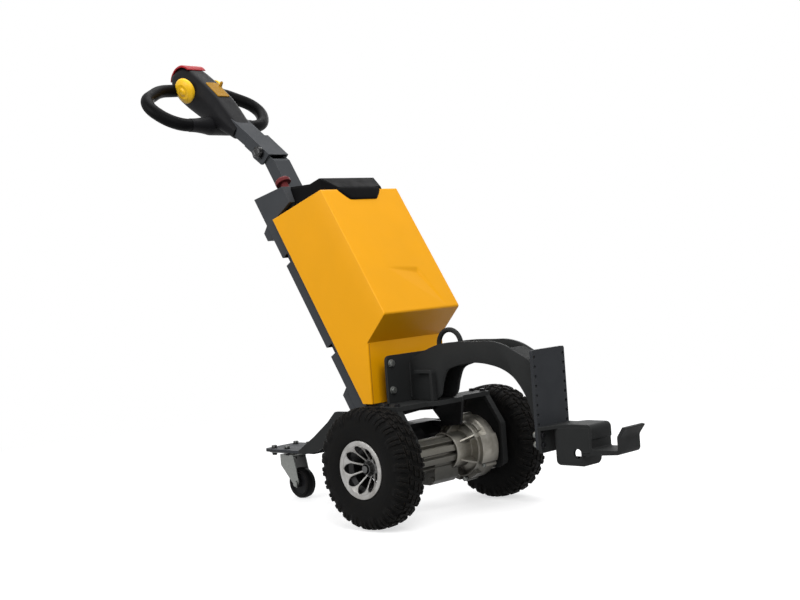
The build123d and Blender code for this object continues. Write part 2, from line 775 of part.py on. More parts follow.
flange = Pos((face_x + flange_x) / 2, 0, (flange_bottom + sheet_rear_z) / 2) * Box(
    hitch_wall, drilled_plate_width, sheet_rear_z - flange_bottom
)
flange = fillet(flange.edges().filter_by(Axis.X).group_by(Axis.Z)[0], 6)
hook_root = hook_bottom + 4
box_outline = [
    (hitch_rear_x, under_sheet - 5),
    (hitch_rear_x, hitch_bottom),
    (hitch_front_x, hitch_bottom),
    (hitch_front(hook_root - 2), hook_root - 2),
    (hook_wall_x, hook_root),
    (hook_wall_x, under_sheet),
    (sheet_bend_x, under_sheet),
]
box = centred_prism(rounded(box_outline, [0, 13, 0, 0, 0, 0, 30]), 2 * hitch_half_width)
box = fillet(box.edges().filter_by(Axis.X).group_by(Axis.Z)[0], 12)
inner_low = hitch_bottom + hitch_wall
inner_high = under_sheet - hitch_wall
hollow_outline = [
    (hitch_rear_x - 1, inner_low),
    (hitch_front(inner_low) - hitch_wall, inner_low),
    (hitch_front(inner_high) - hitch_wall, inner_high),
    (sheet_bend_x, inner_high),
    (hitch_rear_x - 1, inner_high - 5),
]
hollow = centred_prism(hollow_outline, 2 * (hitch_half_width - hitch_wall))
box -= fillet(hollow.edges().filter_by(Axis.X).group_by(Axis.Z)[0], 5)
box -= rod(hitch_hole_radius, -60, 60, hitch_hole_x, hitch_hole_z)
relief = rounded([(400, 140), (400, 190), (450, 190), (450, 140)], [0, 0, 6, 0])
nodes["hitch_box"] = box - side_prism(relief, hitch_half_width - hitch_wall, 60)

# Hook: one bent sheet over the box, down its front and out to a raised lip
hook_outline = [
    (flange_x, sheet_rear_z),
    (sheet_bend_x, hitch_top),
    (hook_wall_x + hook_plate, hitch_top),
    (hook_wall_x + hook_plate, 218),
    (hook_wall_x + hook_plate - 2.5, 214),
    (hook_wall_x + hook_plate - 2.5, hook_bottom + hook_plate),
    (hook_front_x - hook_plate, hook_bottom + hook_plate),
    (hook_front_x - hook_plate, 226),
    (hook_front_x + 8, hook_lip_top + 2),
    (hook_front_x + 18, hook_lip_top),
    (hook_front_x, 224),
    (hook_front_x, hook_bottom),
    (hitch_front(hook_bottom - 7), hook_bottom - 7),
    (hitch_front(hook_root - 2), hook_root - 2),
    (hook_wall_x, hook_root),
    (hook_wall_x, under_sheet),
    (sheet_bend_x, under_sheet),
    (flange_x, sheet_rear_z - hitch_wall),
]
hook_radii = [0, 30, 13, 0, 0, 4, 4, 12, 2, 2, 16, 12, 0, 0, 0, 0, 30, 0]
hook = centred_prism(rounded(hook_outline, hook_radii), drilled_plate_width)
sheet_plan = Polygon(
    (face_x, -drilled_plate_width / 2),
    (flange_x, -drilled_plate_width / 2),
    (flange_x + 36, -hitch_half_width),
    (hook_front_x + 40, -hitch_half_width),
    (hook_front_x + 40, hitch_half_width),
    (flange_x + 36, hitch_half_width),
    (flange_x, drilled_plate_width / 2),
    (face_x, drilled_plate_width / 2),
    align=None,
)
nodes["hook"] = (hook & extrude(Pos(0, 0, 100) * sheet_plan, amount=200)) + flange

# Control arm: yoke cheeks over the mast, arm tube, clamp bolt
yoke_inner = mast_width / 2 + yoke_gap
cheek_outline = [
    on_arm(-37, 14),
    on_arm(70, 19),
    on_arm(70, -19),
    on_arm(32, -20),
    on_arm(20, -29),
    on_arm(-24, -29),
]
cheek = rounded(cheek_outline, [4, 0, 0, 8, 8, 6])
yoke = side_prism(cheek, -yoke_inner - yoke_side, -yoke_inner) + side_prism(cheek, yoke_inner, yoke_inner + yoke_side)
web = [on_arm(-37, 14), on_arm(70, 19), on_arm(70, 14), on_arm(-34, 9)]
yoke += side_prism(web, -yoke_inner - yoke_side, yoke_inner + yoke_side)
yoke -= rod(pivot_bolt_radius, -60, 60, pivot_x, pivot_z)
tube_outline = [on_arm(38, 14), on_arm(170, 18), on_arm(170, -20), on_arm(38, -20)]
arm_bore = [on_arm(30, 10), on_arm(165, 14), on_arm(165, -16), on_arm(30, -16)]
arm_tube = centred_prism(tube_outline, 2 * yoke_inner) - centred_prism(arm_bore, 2 * yoke_inner - 8)
nodes["arm"] = yoke + arm_tube
bolt = rod(pivot_bolt_radius, -yoke_inner - yoke_side, yoke_inner + yoke_side, pivot_x, pivot_z)
outer = yoke_inner + yoke_side
bolt += rod(10, outer, outer + 8, pivot_x, pivot_z) + rod(16, -outer - 14, -outer, pivot_x, pivot_z)
nodes["clamp_bolt"] = bolt

# Loop handle, in its own tilted plane
head_plane = Plane(
    origin=(on_arm(loop_centre_a, 0)[0] + loop_centre_b * arm_sin, 0, on_arm(loop_centre_a, loop_centre_b)[1]),
    x_dir=(-cos(radians(loop_tilt)), 0, sin(radians(loop_tilt))),
    z_dir=(-sin(radians(loop_tilt)), 0, -cos(radians(loop_tilt))),
)
loop_halves = []
for side in (-1, 1):
    path = FilletPolyline(
        head_plane.from_local_coords(Vector(loop_front, 0, 0)),
        head_plane.from_local_coords(Vector(loop_front, side * loop_front_corner_y, 0)),
        head_plane.from_local_coords(Vector(loop_side, side * loop_side_y, 0)),
        head_plane.from_local_coords(Vector(loop_rear - 8, side * loop_rear_corner_y, 0)),
        head_plane.from_local_coords(Vector(loop_rear, side * (head_half_width - 4), 0)),
        radius=loop_radii,
    )
    section = Plane(origin=path @ 0, z_dir=path % 0) * Circle(loop_tube_radius)
    loop_halves.append(sweep(section, path=path))

# Control head: wedge housing on the arm's end, narrower toward its top
head_outline = [
    on_arm(140, 18),
    on_arm(180, 24),
    on_arm(262, 44),
    on_arm(338, 50),
    on_arm(425, 50),
    on_arm(452, 42),
    on_arm(470, 22),
    on_arm(478, 0),
    on_arm(474, -22),
    on_arm(460, -36),
    on_arm(418, -50),
    on_arm(320, -49),
    on_arm(200, -36),
    on_arm(132, -28),
]
head_radii = [0, 0, 30, 30, 24, 16, 14, 14, 12, 20, 30, 30, 0, 0]
head = centred_prism(rounded(head_outline, head_radii), 2 * head_half_width)
head_corners = [
    (-head_half_width + 8, -70),
    (head_half_width - 8, -70),
    (head_half_width, -34),
    (head_half_width, 16),
    (31, 52),
    (-31, 52),
    (-head_half_width, 16),
    (-head_half_width, -34),
]
head_section = rounded(head_corners, [0, 0, 20, 20, 12, 12, 20, 20])
arm_start = on_arm(100, 0)
across_arm = Plane(origin=(arm_start[0], 0, arm_start[1]), x_dir=(0, 1, 0), z_dir=(-arm_cos, 0, arm_sin))
head = head & extrude(across_arm * head_section, amount=420)
head -= side_prism(tube_outline, -yoke_inner, yoke_inner)
for half in loop_halves:
    head = head - half
nodes["control_head"] = head
nodes["loop_handle_right"] = loop_halves[0]
nodes["loop_handle_left"] = loop_halves[1]

# Paddles, belly switch, panel and key on the head
paddle_x, paddle_z = on_arm(381, 4)
paddle = [(0, 46), (37, 46), (41, 50), (39, 58), (26, 68), (0, 72)]
bar_end = head_plane.from_local_coords(Vector(loop_rear, 0, 0))
paddle_solid = turned(paddle, x=paddle_x, z=paddle_z)
paddle_solid -= rod(loop_tube_radius + 4, 40, 80, bar_end.X, bar_end.Z)
nodes["paddle_left"] = paddle_solid
nodes["paddle_right"] = mirror(paddle_solid, Plane.XZ)
belly_outline = [
    on_arm(420, 50.1),
    on_arm(435, 50),
    on_arm(452.2, 42.4),
    on_arm(465, 30),
    on_arm(473, 20),
    on_arm(478.4, 0),
    on_arm(474.4, -22),
    on_arm(486, -24),
    on_arm(491, 2),
    on_arm(482, 30),
    on_arm(462, 51),
    on_arm(438, 59),
    on_arm(424, 57),
]
belly = centred_prism(belly_outline, 80)
nodes["belly_switch"] = chamfer(belly.edges().filter_by(lambda edge: abs(edge.center().Y) > 39 and edge.length > 20), 3)
panel = [on_arm(264, 44.4), on_arm(337, 50), on_arm(337, 53), on_arm(264, 47.4)]
key = [on_arm(314, 50), on_arm(333, 52), on_arm(331, 66), on_arm(316, 64)]
nodes["head_panel"] = centred_prism(panel, 58) + side_prism(key, 19, 28)


def write(parts):
    """Move the machine so that the origin is under the middle of its length, and write each piece."""
    boxes = [part.bounding_box() for part in parts.values()]
    middle_x = (min(b.min.X for b in boxes) + max(b.max.X for b in boxes)) / 2
    for name, part in parts.items():
        export_step(Pos(-middle_x, 0, 0) * part, f"parts/{name}.step")
    print("middle of the length, from the axle:", round(middle_x, 4))
    print("arm pivot, from the axle:", round(pivot_x, 4), round(pivot_z, 4))


write(nodes)
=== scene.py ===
# %% [markdown]
# # Dressing a walk-behind tow tug
# The machine's solids already stand in the scene at their real size: two driven wheels on one
# transaxle, a castor behind, a leaning battery cover, a mast with a tilting handle and a tow hook.
# This lesson gives them their finishes and adds what a solid model leaves out: the cover's pressed
# sheet, knobbly tyres, cast rims, bolts, weld beads and the soft forms of the handle. First the
# solids are loaded as a fixed frame.

# %% Load the solids
import json
from itertools import product

import bmesh
import bpy
import numpy as np
from mathutils import Matrix, Vector


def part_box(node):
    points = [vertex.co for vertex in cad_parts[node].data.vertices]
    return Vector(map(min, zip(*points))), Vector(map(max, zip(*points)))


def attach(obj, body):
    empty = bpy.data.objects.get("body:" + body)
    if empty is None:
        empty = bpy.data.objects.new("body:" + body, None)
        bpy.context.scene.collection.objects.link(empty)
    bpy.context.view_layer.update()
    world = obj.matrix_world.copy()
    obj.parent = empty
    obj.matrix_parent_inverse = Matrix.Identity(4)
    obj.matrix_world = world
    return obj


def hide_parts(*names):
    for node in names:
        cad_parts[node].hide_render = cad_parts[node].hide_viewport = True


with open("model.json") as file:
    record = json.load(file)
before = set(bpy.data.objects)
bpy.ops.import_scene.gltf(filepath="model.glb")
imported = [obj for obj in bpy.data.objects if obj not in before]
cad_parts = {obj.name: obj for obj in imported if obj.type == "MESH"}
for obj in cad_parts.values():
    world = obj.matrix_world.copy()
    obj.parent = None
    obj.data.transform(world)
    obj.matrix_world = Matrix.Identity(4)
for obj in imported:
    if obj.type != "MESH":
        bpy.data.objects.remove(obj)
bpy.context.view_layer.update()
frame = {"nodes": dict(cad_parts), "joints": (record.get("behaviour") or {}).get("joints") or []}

# %% [markdown]
# Every place below is given in millimetres from the point on the floor right under the drive axle,
# because that is how the machine itself was drawn. One function moves such points into the scene,
# which is in metres, and the joints of the frame say where the axle and the arm's pivot are.

# %% Places from the joints
JOINT = {joint["name"]: joint for joint in frame["joints"]}
AXLE_X, AXLE_Y, AXLE_Z = JOINT["wheel_left_spin"]["pos_m"]
PIVOT = np.array(JOINT["arm_tilt"]["pos_m"])
CASTOR = tuple(JOINT["castor_roll"]["pos_m"])
LEAN = np.radians(31.2)
ARM_ANGLE = np.radians(35.5)
UP_MAST = np.array([-np.sin(LEAN), 0, np.cos(LEAN)])
ALONG_ARM = np.array([-np.cos(ARM_ANGLE), 0, np.sin(ARM_ANGLE)])
ABOVE_ARM = np.array([np.sin(ARM_ANGLE), 0, np.cos(ARM_ANGLE)])
FACE_OUT = np.array([np.cos(LEAN), 0, np.sin(LEAN)])
FACE_FOOT = np.array([-11.0, 0, 535.0])
ACROSS = np.array([0, 1, 0])
AXLE_CENTRE = (AXLE_X, 0.0, AXLE_Z)
WHEEL_RADIUS = 155.0
HALF_TRACK = 1000 * abs(AXLE_Y)
WHEELS = (("right", -HALF_TRACK), ("left", HALF_TRACK))


def unit(vector):
    """Vectors scaled to length one along their last axis."""
    vector = np.asarray(vector, float)
    return vector / np.linalg.norm(vector, axis=-1, keepdims=True)


def placed(points):
    """Millimetres from the floor under the axle, turned into metres in the scene."""
    return np.asarray(points, float) * 0.001 + [AXLE_X, 0, 0]


def along_ways(first, across, second, first_way, second_way):
    """Sum of distances along two directions of the side view and across, for places or whole arrays."""
    first, across, second = (np.asarray(value, float)[..., None] for value in (first, across, second))
    return first * first_way + across * ACROSS + second * second_way


def on_face(up, across, out=0.0):
    """A point by its distance up the cover's front face from its lower edge, across, and out of it."""
    return placed(FACE_FOOT + along_ways(up, across, out, UP_MAST, FACE_OUT))


def on_arm(along, across, above):
    """A point by its distance up the control arm from its pivot, across, and above its middle."""
    return PIVOT + 0.001 * along_ways(along, across, above, ALONG_ARM, ABOVE_ARM)


print("axle at", np.round([AXLE_X, AXLE_Y, AXLE_Z], 4), "arm pivot at", np.round(PIVOT, 4))

# %% [markdown]
# ## Camera, light and floor
# The photograph was taken from the front right, a little above the wheels, with a short telephoto.
# The camera's place and angles below were solved from straight edges of the machine, so they
# are real numbers, and a render can be laid over the photograph. A plain studio suits a product
# picture: large soft lamps on every side, and a floor that looks white but keeps a faint shadow.

# %% Camera
CAMERA_PLACE = (2463.6, -2601.6, 665.5)
CAMERA_HEADING, CAMERA_DOWN, CAMERA_ROLL = 44.5, 1.613, -4.298
LENS, SENSOR = 61.46, 36.0


def turn(degrees, axis):
    """A 4 by 4 turn about one axis, in degrees."""
    return Matrix.Rotation(np.radians(degrees), 4, axis)


camera_data = bpy.data.cameras.new("camera")
camera_data.lens, camera_data.sensor_width = LENS, SENSOR
camera_data.clip_end = 200
camera = bpy.data.objects.new("camera", camera_data)
camera.matrix_world = (
    Matrix.Translation(Vector(placed(CAMERA_PLACE)))
    @ turn(CAMERA_HEADING, "Z")
    @ turn(90 - CAMERA_DOWN, "X")
    @ turn(CAMERA_ROLL, "Z")
)
bpy.context.scene.collection.objects.link(camera)
bpy.context.scene.camera = camera
bpy.context.scene.view_settings.view_transform = "Standard"
print("camera at", np.round(camera.matrix_world.translation, 3))

# %% Lamps
# columns: name, place in metres from the floor under the axle, width, watts
LAMPS = [
    ("key_softbox", (2.6, -1.5, 3.0), 2.4, 95),
    ("side_softbox", (-1.2, -3.4, 2.2), 2.4, 75),
    ("top_softbox", (-0.6, 0.6, 3.6), 2.6, 60),
    ("rear_softbox", (-2.6, 2.9, 2.2), 2.2, 40),
]
AIM = Vector((-0.1, 0.0, 0.5))
for name, place, width, watts in LAMPS:
    lamp = bpy.data.lights.new(name, "AREA")
    lamp.shape, lamp.size, lamp.energy = "SQUARE", width, watts
    holder = bpy.data.objects.new(name, lamp)
    spot = Vector((place[0] + AXLE_X, place[1], place[2]))
    holder.location = spot
    holder.rotation_euler = (AIM - spot).to_track_quat("-Z", "Y").to_euler()
    bpy.context.scene.collection.objects.link(holder)
print("lamps:", [row[0] for row in LAMPS])

# %% [markdown]
# ## A small language for finishes
# A finish is a picture of numbers over a surface. Written as node boxes, it is hard to read, so one
# small class lets a value that flows between nodes be added and multiplied like a number. A second
# class holds the shader and makes any other node with one call. Fixed numbers go on the shader itself.


# %% Values that add and multiply
class Flow:
    """One output of a node. Arithmetic on it adds a Math node and gives that node's output."""

    def __init__(self, finish, socket):
        self.finish, self.socket = finish, socket

    def maths(self, operation, *others, clamp=False):
        """A Math node with this value first."""
        settings = {"operation": operation, "use_clamp": clamp}
        return self.finish.node("ShaderNodeMath", settings, self, *others)

    def __add__(self, other):
        return self.maths("ADD", other)

    def __sub__(self, other):
        return self.maths("SUBTRACT", other)

    def __rsub__(self, other):
        return self.finish.node("ShaderNodeMath", {"operation": "SUBTRACT"}, other, self)

    def __mul__(self, other):
        return self.maths("MULTIPLY", other)

    def __truediv__(self, other):
        return self.maths("DIVIDE", other)

    __radd__, __rmul__ = __add__, __mul__

    def between(self, low, high):
        """0 below low, 1 above high, and a straight ramp from one to the other."""
        return ((self - low) / (high - low)).maths("ADD", 0.0, clamp=True)


# %% The finish itself
def tint(red, green, blue):
    """A colour given as screen values of 0 to 255, turned into the linear light the shader takes."""
    share = np.array([red, green, blue]) / 255
    linear = np.where(share <= 0.04045, share / 12.92, ((share + 0.055) / 1.055) ** 2.4)
    return (*linear.tolist(), 1.0)


def toned(colour, *shares):
    """A colour whose channels are multiplied by three shares, or all by one share, up to full light."""
    return tuple(np.minimum(np.array(colour) * [*(shares * 3)[:3], 1], 1).tolist())


class Finish:
    """A material with one Principled shader, whose fixed sockets are given by name."""

    def __init__(self, name, **fixed):
        self.material = bpy.data.materials.new(name)
        self.material.use_nodes = True
        self.tree = self.material.node_tree
        self.tree.nodes.clear()
        self.shader = self.tree.nodes.new("ShaderNodeBsdfPrincipled")
        output = self.tree.nodes.new("ShaderNodeOutputMaterial")
        self.tree.links.new(self.shader.outputs[0], output.inputs[0])
        for socket, value in fixed.items():
            self.shader.inputs[socket.replace("_", " ")].default_value = value
        self.place = self.node("ShaderNodeTexCoord", {}, out="Object")
        self.normal = None

    def node(self, kind, settings, *values, out=0, **named):
        """Any node: its settings first, then values or flows for its sockets, by order or name."""
        made = self.tree.nodes.new(kind)
        for setting, value in settings.items():
            setattr(made, setting, value)
        self.fill(made, [*enumerate(values), *((k.replace("_", " "), v) for k, v in named.items())])
        return Flow(self, made.outputs[out])

    def fill(self, made, rows):
        """Gives sockets, by number or name, their value, or links the flow that feeds them."""
        for key, value in rows:
            if isinstance(value, Flow):
                self.tree.links.new(value.socket, made.inputs[key])
            else:
                made.inputs[key].default_value = value

    def vector(self, operation, *values, out=0):
        """A Vector Math node; out="Value" gives its number."""
        return self.node("ShaderNodeVectorMath", {"operation": operation}, *values, out=out)

    def noise(self, size, detail=2.0, roughness=0.5):
        """Cloudy noise of 0 to 1 whose patches are about size millimetres."""
        return self.node(
            "ShaderNodeTexNoise", {}, self.place, Scale=1000 / size, Detail=detail, Roughness=roughness
        )

    def along(self, direction):
        """How far the place lies along a direction, in metres from the scene's origin."""
        return self.vector("DOT_PRODUCT", self.place, direction, out="Value")

    def radius_about(self, centre):
        """Distance in metres from the line that runs across the machine through a centre."""
        flat = self.vector("MULTIPLY", self.vector("SUBTRACT", self.place, centre), (1, 0, 1))
        return self.vector("LENGTH", flat, out="Value")

    def mix(self, share, first, second):
        """A colour that goes from first to second as share goes from 0 to 1."""
        made = self.tree.nodes.new("ShaderNodeMix")
        made.data_type = "RGBA"
        self.fill(made, [(0, share), (6, first), (7, second)])
        return Flow(self, made.outputs[2])

    def feed(self, **flows):
        """Links flows to the shader's sockets by name."""
        for socket, flow in flows.items():
            self.tree.links.new(flow.socket, self.shader.inputs[socket.replace("_", " ")])

    def round_edges(self, radius):
        """Shades sharp edges as if they had this radius in millimetres."""
        self.normal = self.node("ShaderNodeBevel", {"samples": 6}, radius * 0.001)

    def raise_by(self, height, depth):
        """Bumps the surface by height, 0 to 1, times a depth in millimetres."""
        extra = {"Normal": self.normal} if self.normal else {}
        self.normal = self.node("ShaderNodeBump", {}, Distance=depth * 0.001, Height=height, **extra)

    def edges(self, radius):
        """1 along sharp edges and 0 on flat ground, from how far a rounded normal turns."""
        soft = self.node("ShaderNodeBevel", {"samples": 6}, radius * 0.001)
        true = self.node("ShaderNodeNewGeometry", {}, out="Normal")
        return (1.0 - self.vector("DOT_PRODUCT", soft, true, out="Value")).between(0.02, 0.20)

    def done(self):
        """Links the finished normal and gives the material."""
        if self.normal:
            self.feed(Normal=self.normal)
        return self.material


print("finish language ready")

# %% [markdown]
# ## Finishes
# The cover is sheet steel in a smooth satin enamel, the mast and plates have a matt grey powder
# coat with a fine orange peel, and the tow frame has a darker, rougher one. Each is the same idea
# with other numbers: a cloud of slightly different colour, a rougher patch here and there, a fine
# grain as bump, and edges that catch the light because real sheet metal is never knife sharp. A paler
# edge tone adds wear and a painted highlight along the edges, and a thin line of painted shade
# darkens the seam where the cover's sides are folded round its foot.


# %% Painted shade in the seam folded round the cover's foot
SEAM_Y = 137.2  # millimetres from the middle
SEAM_TOP, FOOT_FRONT, SOFT = 0.458, AXLE_X - 0.084, 0.0005  # metres


def painted_seam_shade(finish):
    """Painted shade: 1 in a thin line at the seam's distance from the middle, on the lower front alone.
    """
    from_line = (finish.along((0, 1, 0)).maths("ABSOLUTE") - 0.001 * SEAM_Y).maths("ABSOLUTE")
    low = finish.along((0, 0, 1)).between(SEAM_TOP + SOFT, SEAM_TOP - SOFT)
    front = finish.along((1, 0, 0)).between(FOOT_FRONT - SOFT, FOOT_FRONT + SOFT)
    return from_line.between(0.0016, 0.0006) * (low * front)


# %% Paint
def paint(name, colour, rough, grain, depth, edge, shade=0.06, gloss=0.2, lift=0.10, seamed=False):
    """Painted metal: a cloudy colour, an edge tone of wear and painted highlight, patchy roughness and
    a fine grain.
    """
    finish = Finish(name, Specular_IOR_Level=gloss)
    dark, light = toned(colour, 1 - shade), toned(colour, 1 + shade)
    worn_and_highlit = tuple((np.array(colour) * (1 - lift) + 0.5 * lift).tolist())
    cloud = finish.noise(140, 3.0).between(0.35, 0.65)
    fine = finish.noise(grain, 2.0)
    finish.round_edges(edge)
    colours = finish.mix(cloud, dark, light)
    # Paler edges: partly wear, partly a painted highlight.
    colours = finish.mix(finish.edges(edge * 0.8) * 0.35, colours, worn_and_highlit)
    if seamed:
        # Painted shade: a thin dark line where the seam's groove runs.
        colours = finish.mix(painted_seam_shade(finish) * 0.75, colours, tint(150, 78, 0))
    smudge = finish.noise(60, 4.0, 0.6).between(0.45, 0.75)
    finish.feed(Base_Color=colours, Roughness=rough + 0.10 * smudge + 0.06 * (fine - 0.5))
    finish.raise_by(fine, depth)
    return finish.done()


ORANGE = tint(244, 169, 0)
ENAMEL = paint("orange_enamel", ORANGE, 0.40, 2.2, 0.01, 2.2, 0.02, gloss=0.22, lift=0.40, seamed=True)
GREY_COAT = paint("grey_powder_coat", tint(59, 61, 64), 0.62, 1.1, 0.05, 1.8, gloss=0.14, lift=0.24)
CHARCOAL = tint(35, 36, 36)
CHARCOAL_COAT = paint("charcoal_powder_coat", CHARCOAL, 0.64, 1.0, 0.07, 1.6, gloss=0.13, lift=0.16)
PLATE_COAT = paint("slate_powder_coat", tint(46, 48, 51), 0.62, 1.0, 0.06, 1.6, gloss=0.14, lift=0.16)
BLACK_COAT = paint("black_motor_enamel", tint(15, 15, 16), 0.45, 1.6, 0.04, 1.5, gloss=0.15)
print("paints:", [coat.name for coat in (ENAMEL, GREY_COAT, CHARCOAL_COAT, PLATE_COAT, BLACK_COAT)])


# %% Moulded plastic
def moulded(name, colour, rough, grain, depth, edge=1.5, gloss=0.4, shade=0.05):
    """Moulded plastic: an even colour, an eroded mould texture as bump, and a few handling smudges."""
    finish = Finish(name, Specular_IOR_Level=gloss)
    cells = {"feature": "SMOOTH_F1"}
    skin = finish.node("ShaderNodeTexVoronoi", cells, finish.place, Scale=1000 / grain)
    wipe = finish.noise(45, 3.0, 0.6).between(0.40, 0.70)
    finish.round_edges(edge)
    colours = finish.mix(wipe, colour, toned(colour, 1 - shade))
    finish.feed(Base_Color=colours, Roughness=rough + 0.12 * wipe)
    finish.raise_by(skin, depth)
    return finish.done()


BLACK_PLASTIC = moulded("black_plastic", tint(18, 18, 20), 0.46, 0.9, 0.05, gloss=0.09)
KNOB_PLASTIC = moulded("knob_plastic", tint(10, 10, 11), 0.16, 0.9, 0.01, gloss=0.45)
CAP_PLASTIC = moulded("cap_plastic", tint(9, 9, 10), 0.50, 0.9, 0.05, gloss=0.035)
GRIP_RUBBER = moulded("soft_grip", tint(8, 8, 9), 0.42, 1.2, 0.06, gloss=0.05)
YELLOW_PLASTIC = moulded("yellow_plastic", tint(255, 200, 34), 0.30, 1.0, 0.02, 2.5, 0.25)
PANEL_PLASTIC = moulded("panel_plastic", tint(160, 118, 32), 0.50, 1.0, 0.02, 1.0, 0.1, shade=0.08)
RED_PLASTIC = moulded("red_plastic", tint(158, 16, 27), 0.36, 1.0, 0.02, 2.0, 0.16, shade=0.10)
DULL_RED = moulded("dull_red_plastic", tint(98, 32, 34), 0.50, 1.0, 0.02, 2.0, 0.15, shade=0.15)
BATTERY_CASE = moulded("battery_case", tint(26, 26, 28), 0.50, 1.4, 0.08, gloss=0.15)
print("plastics made")


# %% Cast and bare metal
DISH_HEIGHT, DISH_RADIUS, DISH_SLOPE, HUB_HEIGHT = 0.0412, 0.0595, 0.8, 0.0100
WINDOWS_END = 0.0626


def behind_rim(finish):
    """Painted shade behind the dish: 0 on the rim's dished face, 1 in its windows and on the barrel
    behind, from the dish's height less the place's own.
    """
    radius = finish.radius_about(AXLE_CENTRE)
    outboard = finish.along((0, 1, 0)).maths("ABSOLUTE") - abs(AXLE_Y)
    dish = (DISH_HEIGHT - DISH_SLOPE * (DISH_RADIUS - radius)).maths("MAXIMUM", HUB_HEIGHT)
    return (dish - outboard).between(0.0012, 0.0035) * (WINDOWS_END - radius).between(0.0, 0.0008)


def casting(name, colour, rough, lump, lump_depth, metal=0.75, windows=False, shaded_below=None):
    """Sand-cast aluminium: pitted pale metal, darker oxide in cloud, paler edges of wear and painted
    highlight, and painted shade below and in rim windows where asked.
    """
    finish = Finish(name, Specular_IOR_Level=0.3)
    cloud = finish.noise(26, 4.0, 0.62).between(0.40, 0.68)
    pits = finish.noise(lump, 3.0, 0.65)
    finish.round_edges(1.8)
    colours = finish.mix(cloud * 0.7, colour, toned(colour, 0.62, 0.60, 0.56))
    # Paler edges: partly wear, partly a painted highlight.
    colours = finish.mix(finish.edges(1.6) * 0.35, colours, tint(190, 188, 183))
    bare = metal - 0.25 * cloud
    if shaded_below:
        # Painted shade: darker and less metallic toward the bottom, where little light reaches.
        low = 1.0 - (finish.along((0, 0, 1)) + 0.02 * cloud).between(*shaded_below)
        colours, bare = finish.mix(low * 0.85, colours, tint(36, 35, 31)), bare * (1.0 - 0.7 * low)
    if windows:
        # Painted shade: near black in the windows and on the barrel behind the dish.
        window_shade = behind_rim(finish)
        colours, bare = finish.mix(window_shade, colours, tint(12, 12, 12)), bare * (1.0 - window_shade)
    finish.feed(Base_Color=colours, Roughness=rough + 0.16 * cloud, Metallic=bare)
    finish.raise_by(pits, lump_depth)
    return finish.done()


def plated(name, colour, rough, patch, shade=0.14, inside=None):
    """Zinc or bright steel: soft crystal patches that differ a little in tone and gloss, and painted
    shade between the fork's cheeks when inside is given.
    """
    finish = Finish(name, Metallic=0.92)
    flake = finish.node("ShaderNodeTexVoronoi", {}, finish.place, Scale=1000 / patch)
    tone = flake.between(0.15, 0.75)
    finish.round_edges(1.0)
    colours = finish.mix(tone, colour, toned(colour, 1 - shade))
    if inside:
        across, height = inside
        # Painted shade on the inner faces of the fork's cheeks, under the crown.
        between_cheeks = finish.along((0, 1, 0)).maths("ABSOLUTE").between(across + 0.0004, across)
        cheek_shade = between_cheeks * finish.along((0, 0, 1)).between(height, height - 0.002)
        colours = finish.mix(cheek_shade * 0.9, colours, tint(34, 34, 34))
    finish.feed(Base_Color=colours, Roughness=rough + 0.12 * tone)
    finish.raise_by(finish.noise(0.8, 2.0), 0.02)
    return finish.done()


CAST_METAL = casting("cast_aluminium", tint(142, 139, 131), 0.30, 1.8, 0.16, 0.90, shaded_below=(0.070, 0.150))
# Darker copy of the cast colour: painted shade for the axle tube, low under the drum.
SHADED_CAST_TONE = tint(120, 118, 110)
SHADED_LOW_CAST = casting("oily_cast_aluminium", SHADED_CAST_TONE, 0.36, 1.8, 0.16, 0.8, shaded_below=(0.112, 0.190))
# windows=True paints shade into the rim's windows.
RIM_METAL = casting("rim_silver", tint(160, 159, 157), 0.34, 3.0, 0.02, windows=True)
ZINC = plated("zinc_plate", tint(124, 126, 123), 0.36, 3.5)
CHEEK_GAP, FORK_CROWN = 0.0052, 0.0085
castor_side, fork_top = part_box("castor_tyre")[1][1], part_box("castor_fork")[1][2]
FORK_INSIDE = (float(castor_side) + CHEEK_GAP, float(fork_top) - FORK_CROWN)
FORK_ZINC = plated("fork_zinc_plate", tint(124, 126, 123), 0.36, 3.5, inside=FORK_INSIDE)
DARK_STEEL = plated("dark_steel", tint(84, 84, 84), 0.34, 2.0, 0.10)
BLACK_STEEL = plated("blackened_steel", tint(26, 26, 28), 0.42, 1.5, 0.10)
print("metals made")


# %% Rubber
MOULD_RING_PITCH = 0.0032


def rubber(name, colour, dust, rough, centre):
    """Tyre rubber: dull black, clouds of dust, paler edges of dust and painted highlight, and rings as
    a sine of the radius.
    """
    finish = Finish(name, Specular_IOR_Level=0.05)
    rings = (finish.radius_about(centre) * (2 * np.pi / MOULD_RING_PITCH)).maths("SINE")
    cloud = finish.noise(22, 4.0, 0.6).between(0.42, 0.72)
    finish.round_edges(0.8)
    colours = finish.mix(cloud * 0.6, colour, dust)
    # Paler block edges: partly dust, partly a painted highlight.
    colours = finish.mix(finish.edges(1.8) * 0.7, colours, tint(74, 68, 62))
    finish.feed(Base_Color=colours, Roughness=rough + 0.10 * cloud)
    finish.raise_by(finish.noise(0.9, 2.0) + 0.18 * rings, 0.05)
    return finish.done()


TYRE_RUBBER = rubber("tyre_rubber", tint(13, 13, 13), tint(24, 23, 21), 0.62, AXLE_CENTRE)
CASTOR_RUBBER = rubber("castor_rubber", tint(10, 10, 11), tint(20, 20, 21), 0.50, CASTOR)
print("rubber made")

# %% [markdown]
# ## Dressing the solids
# Most solids already have the right shape, so each only gets its finish. The table says which.

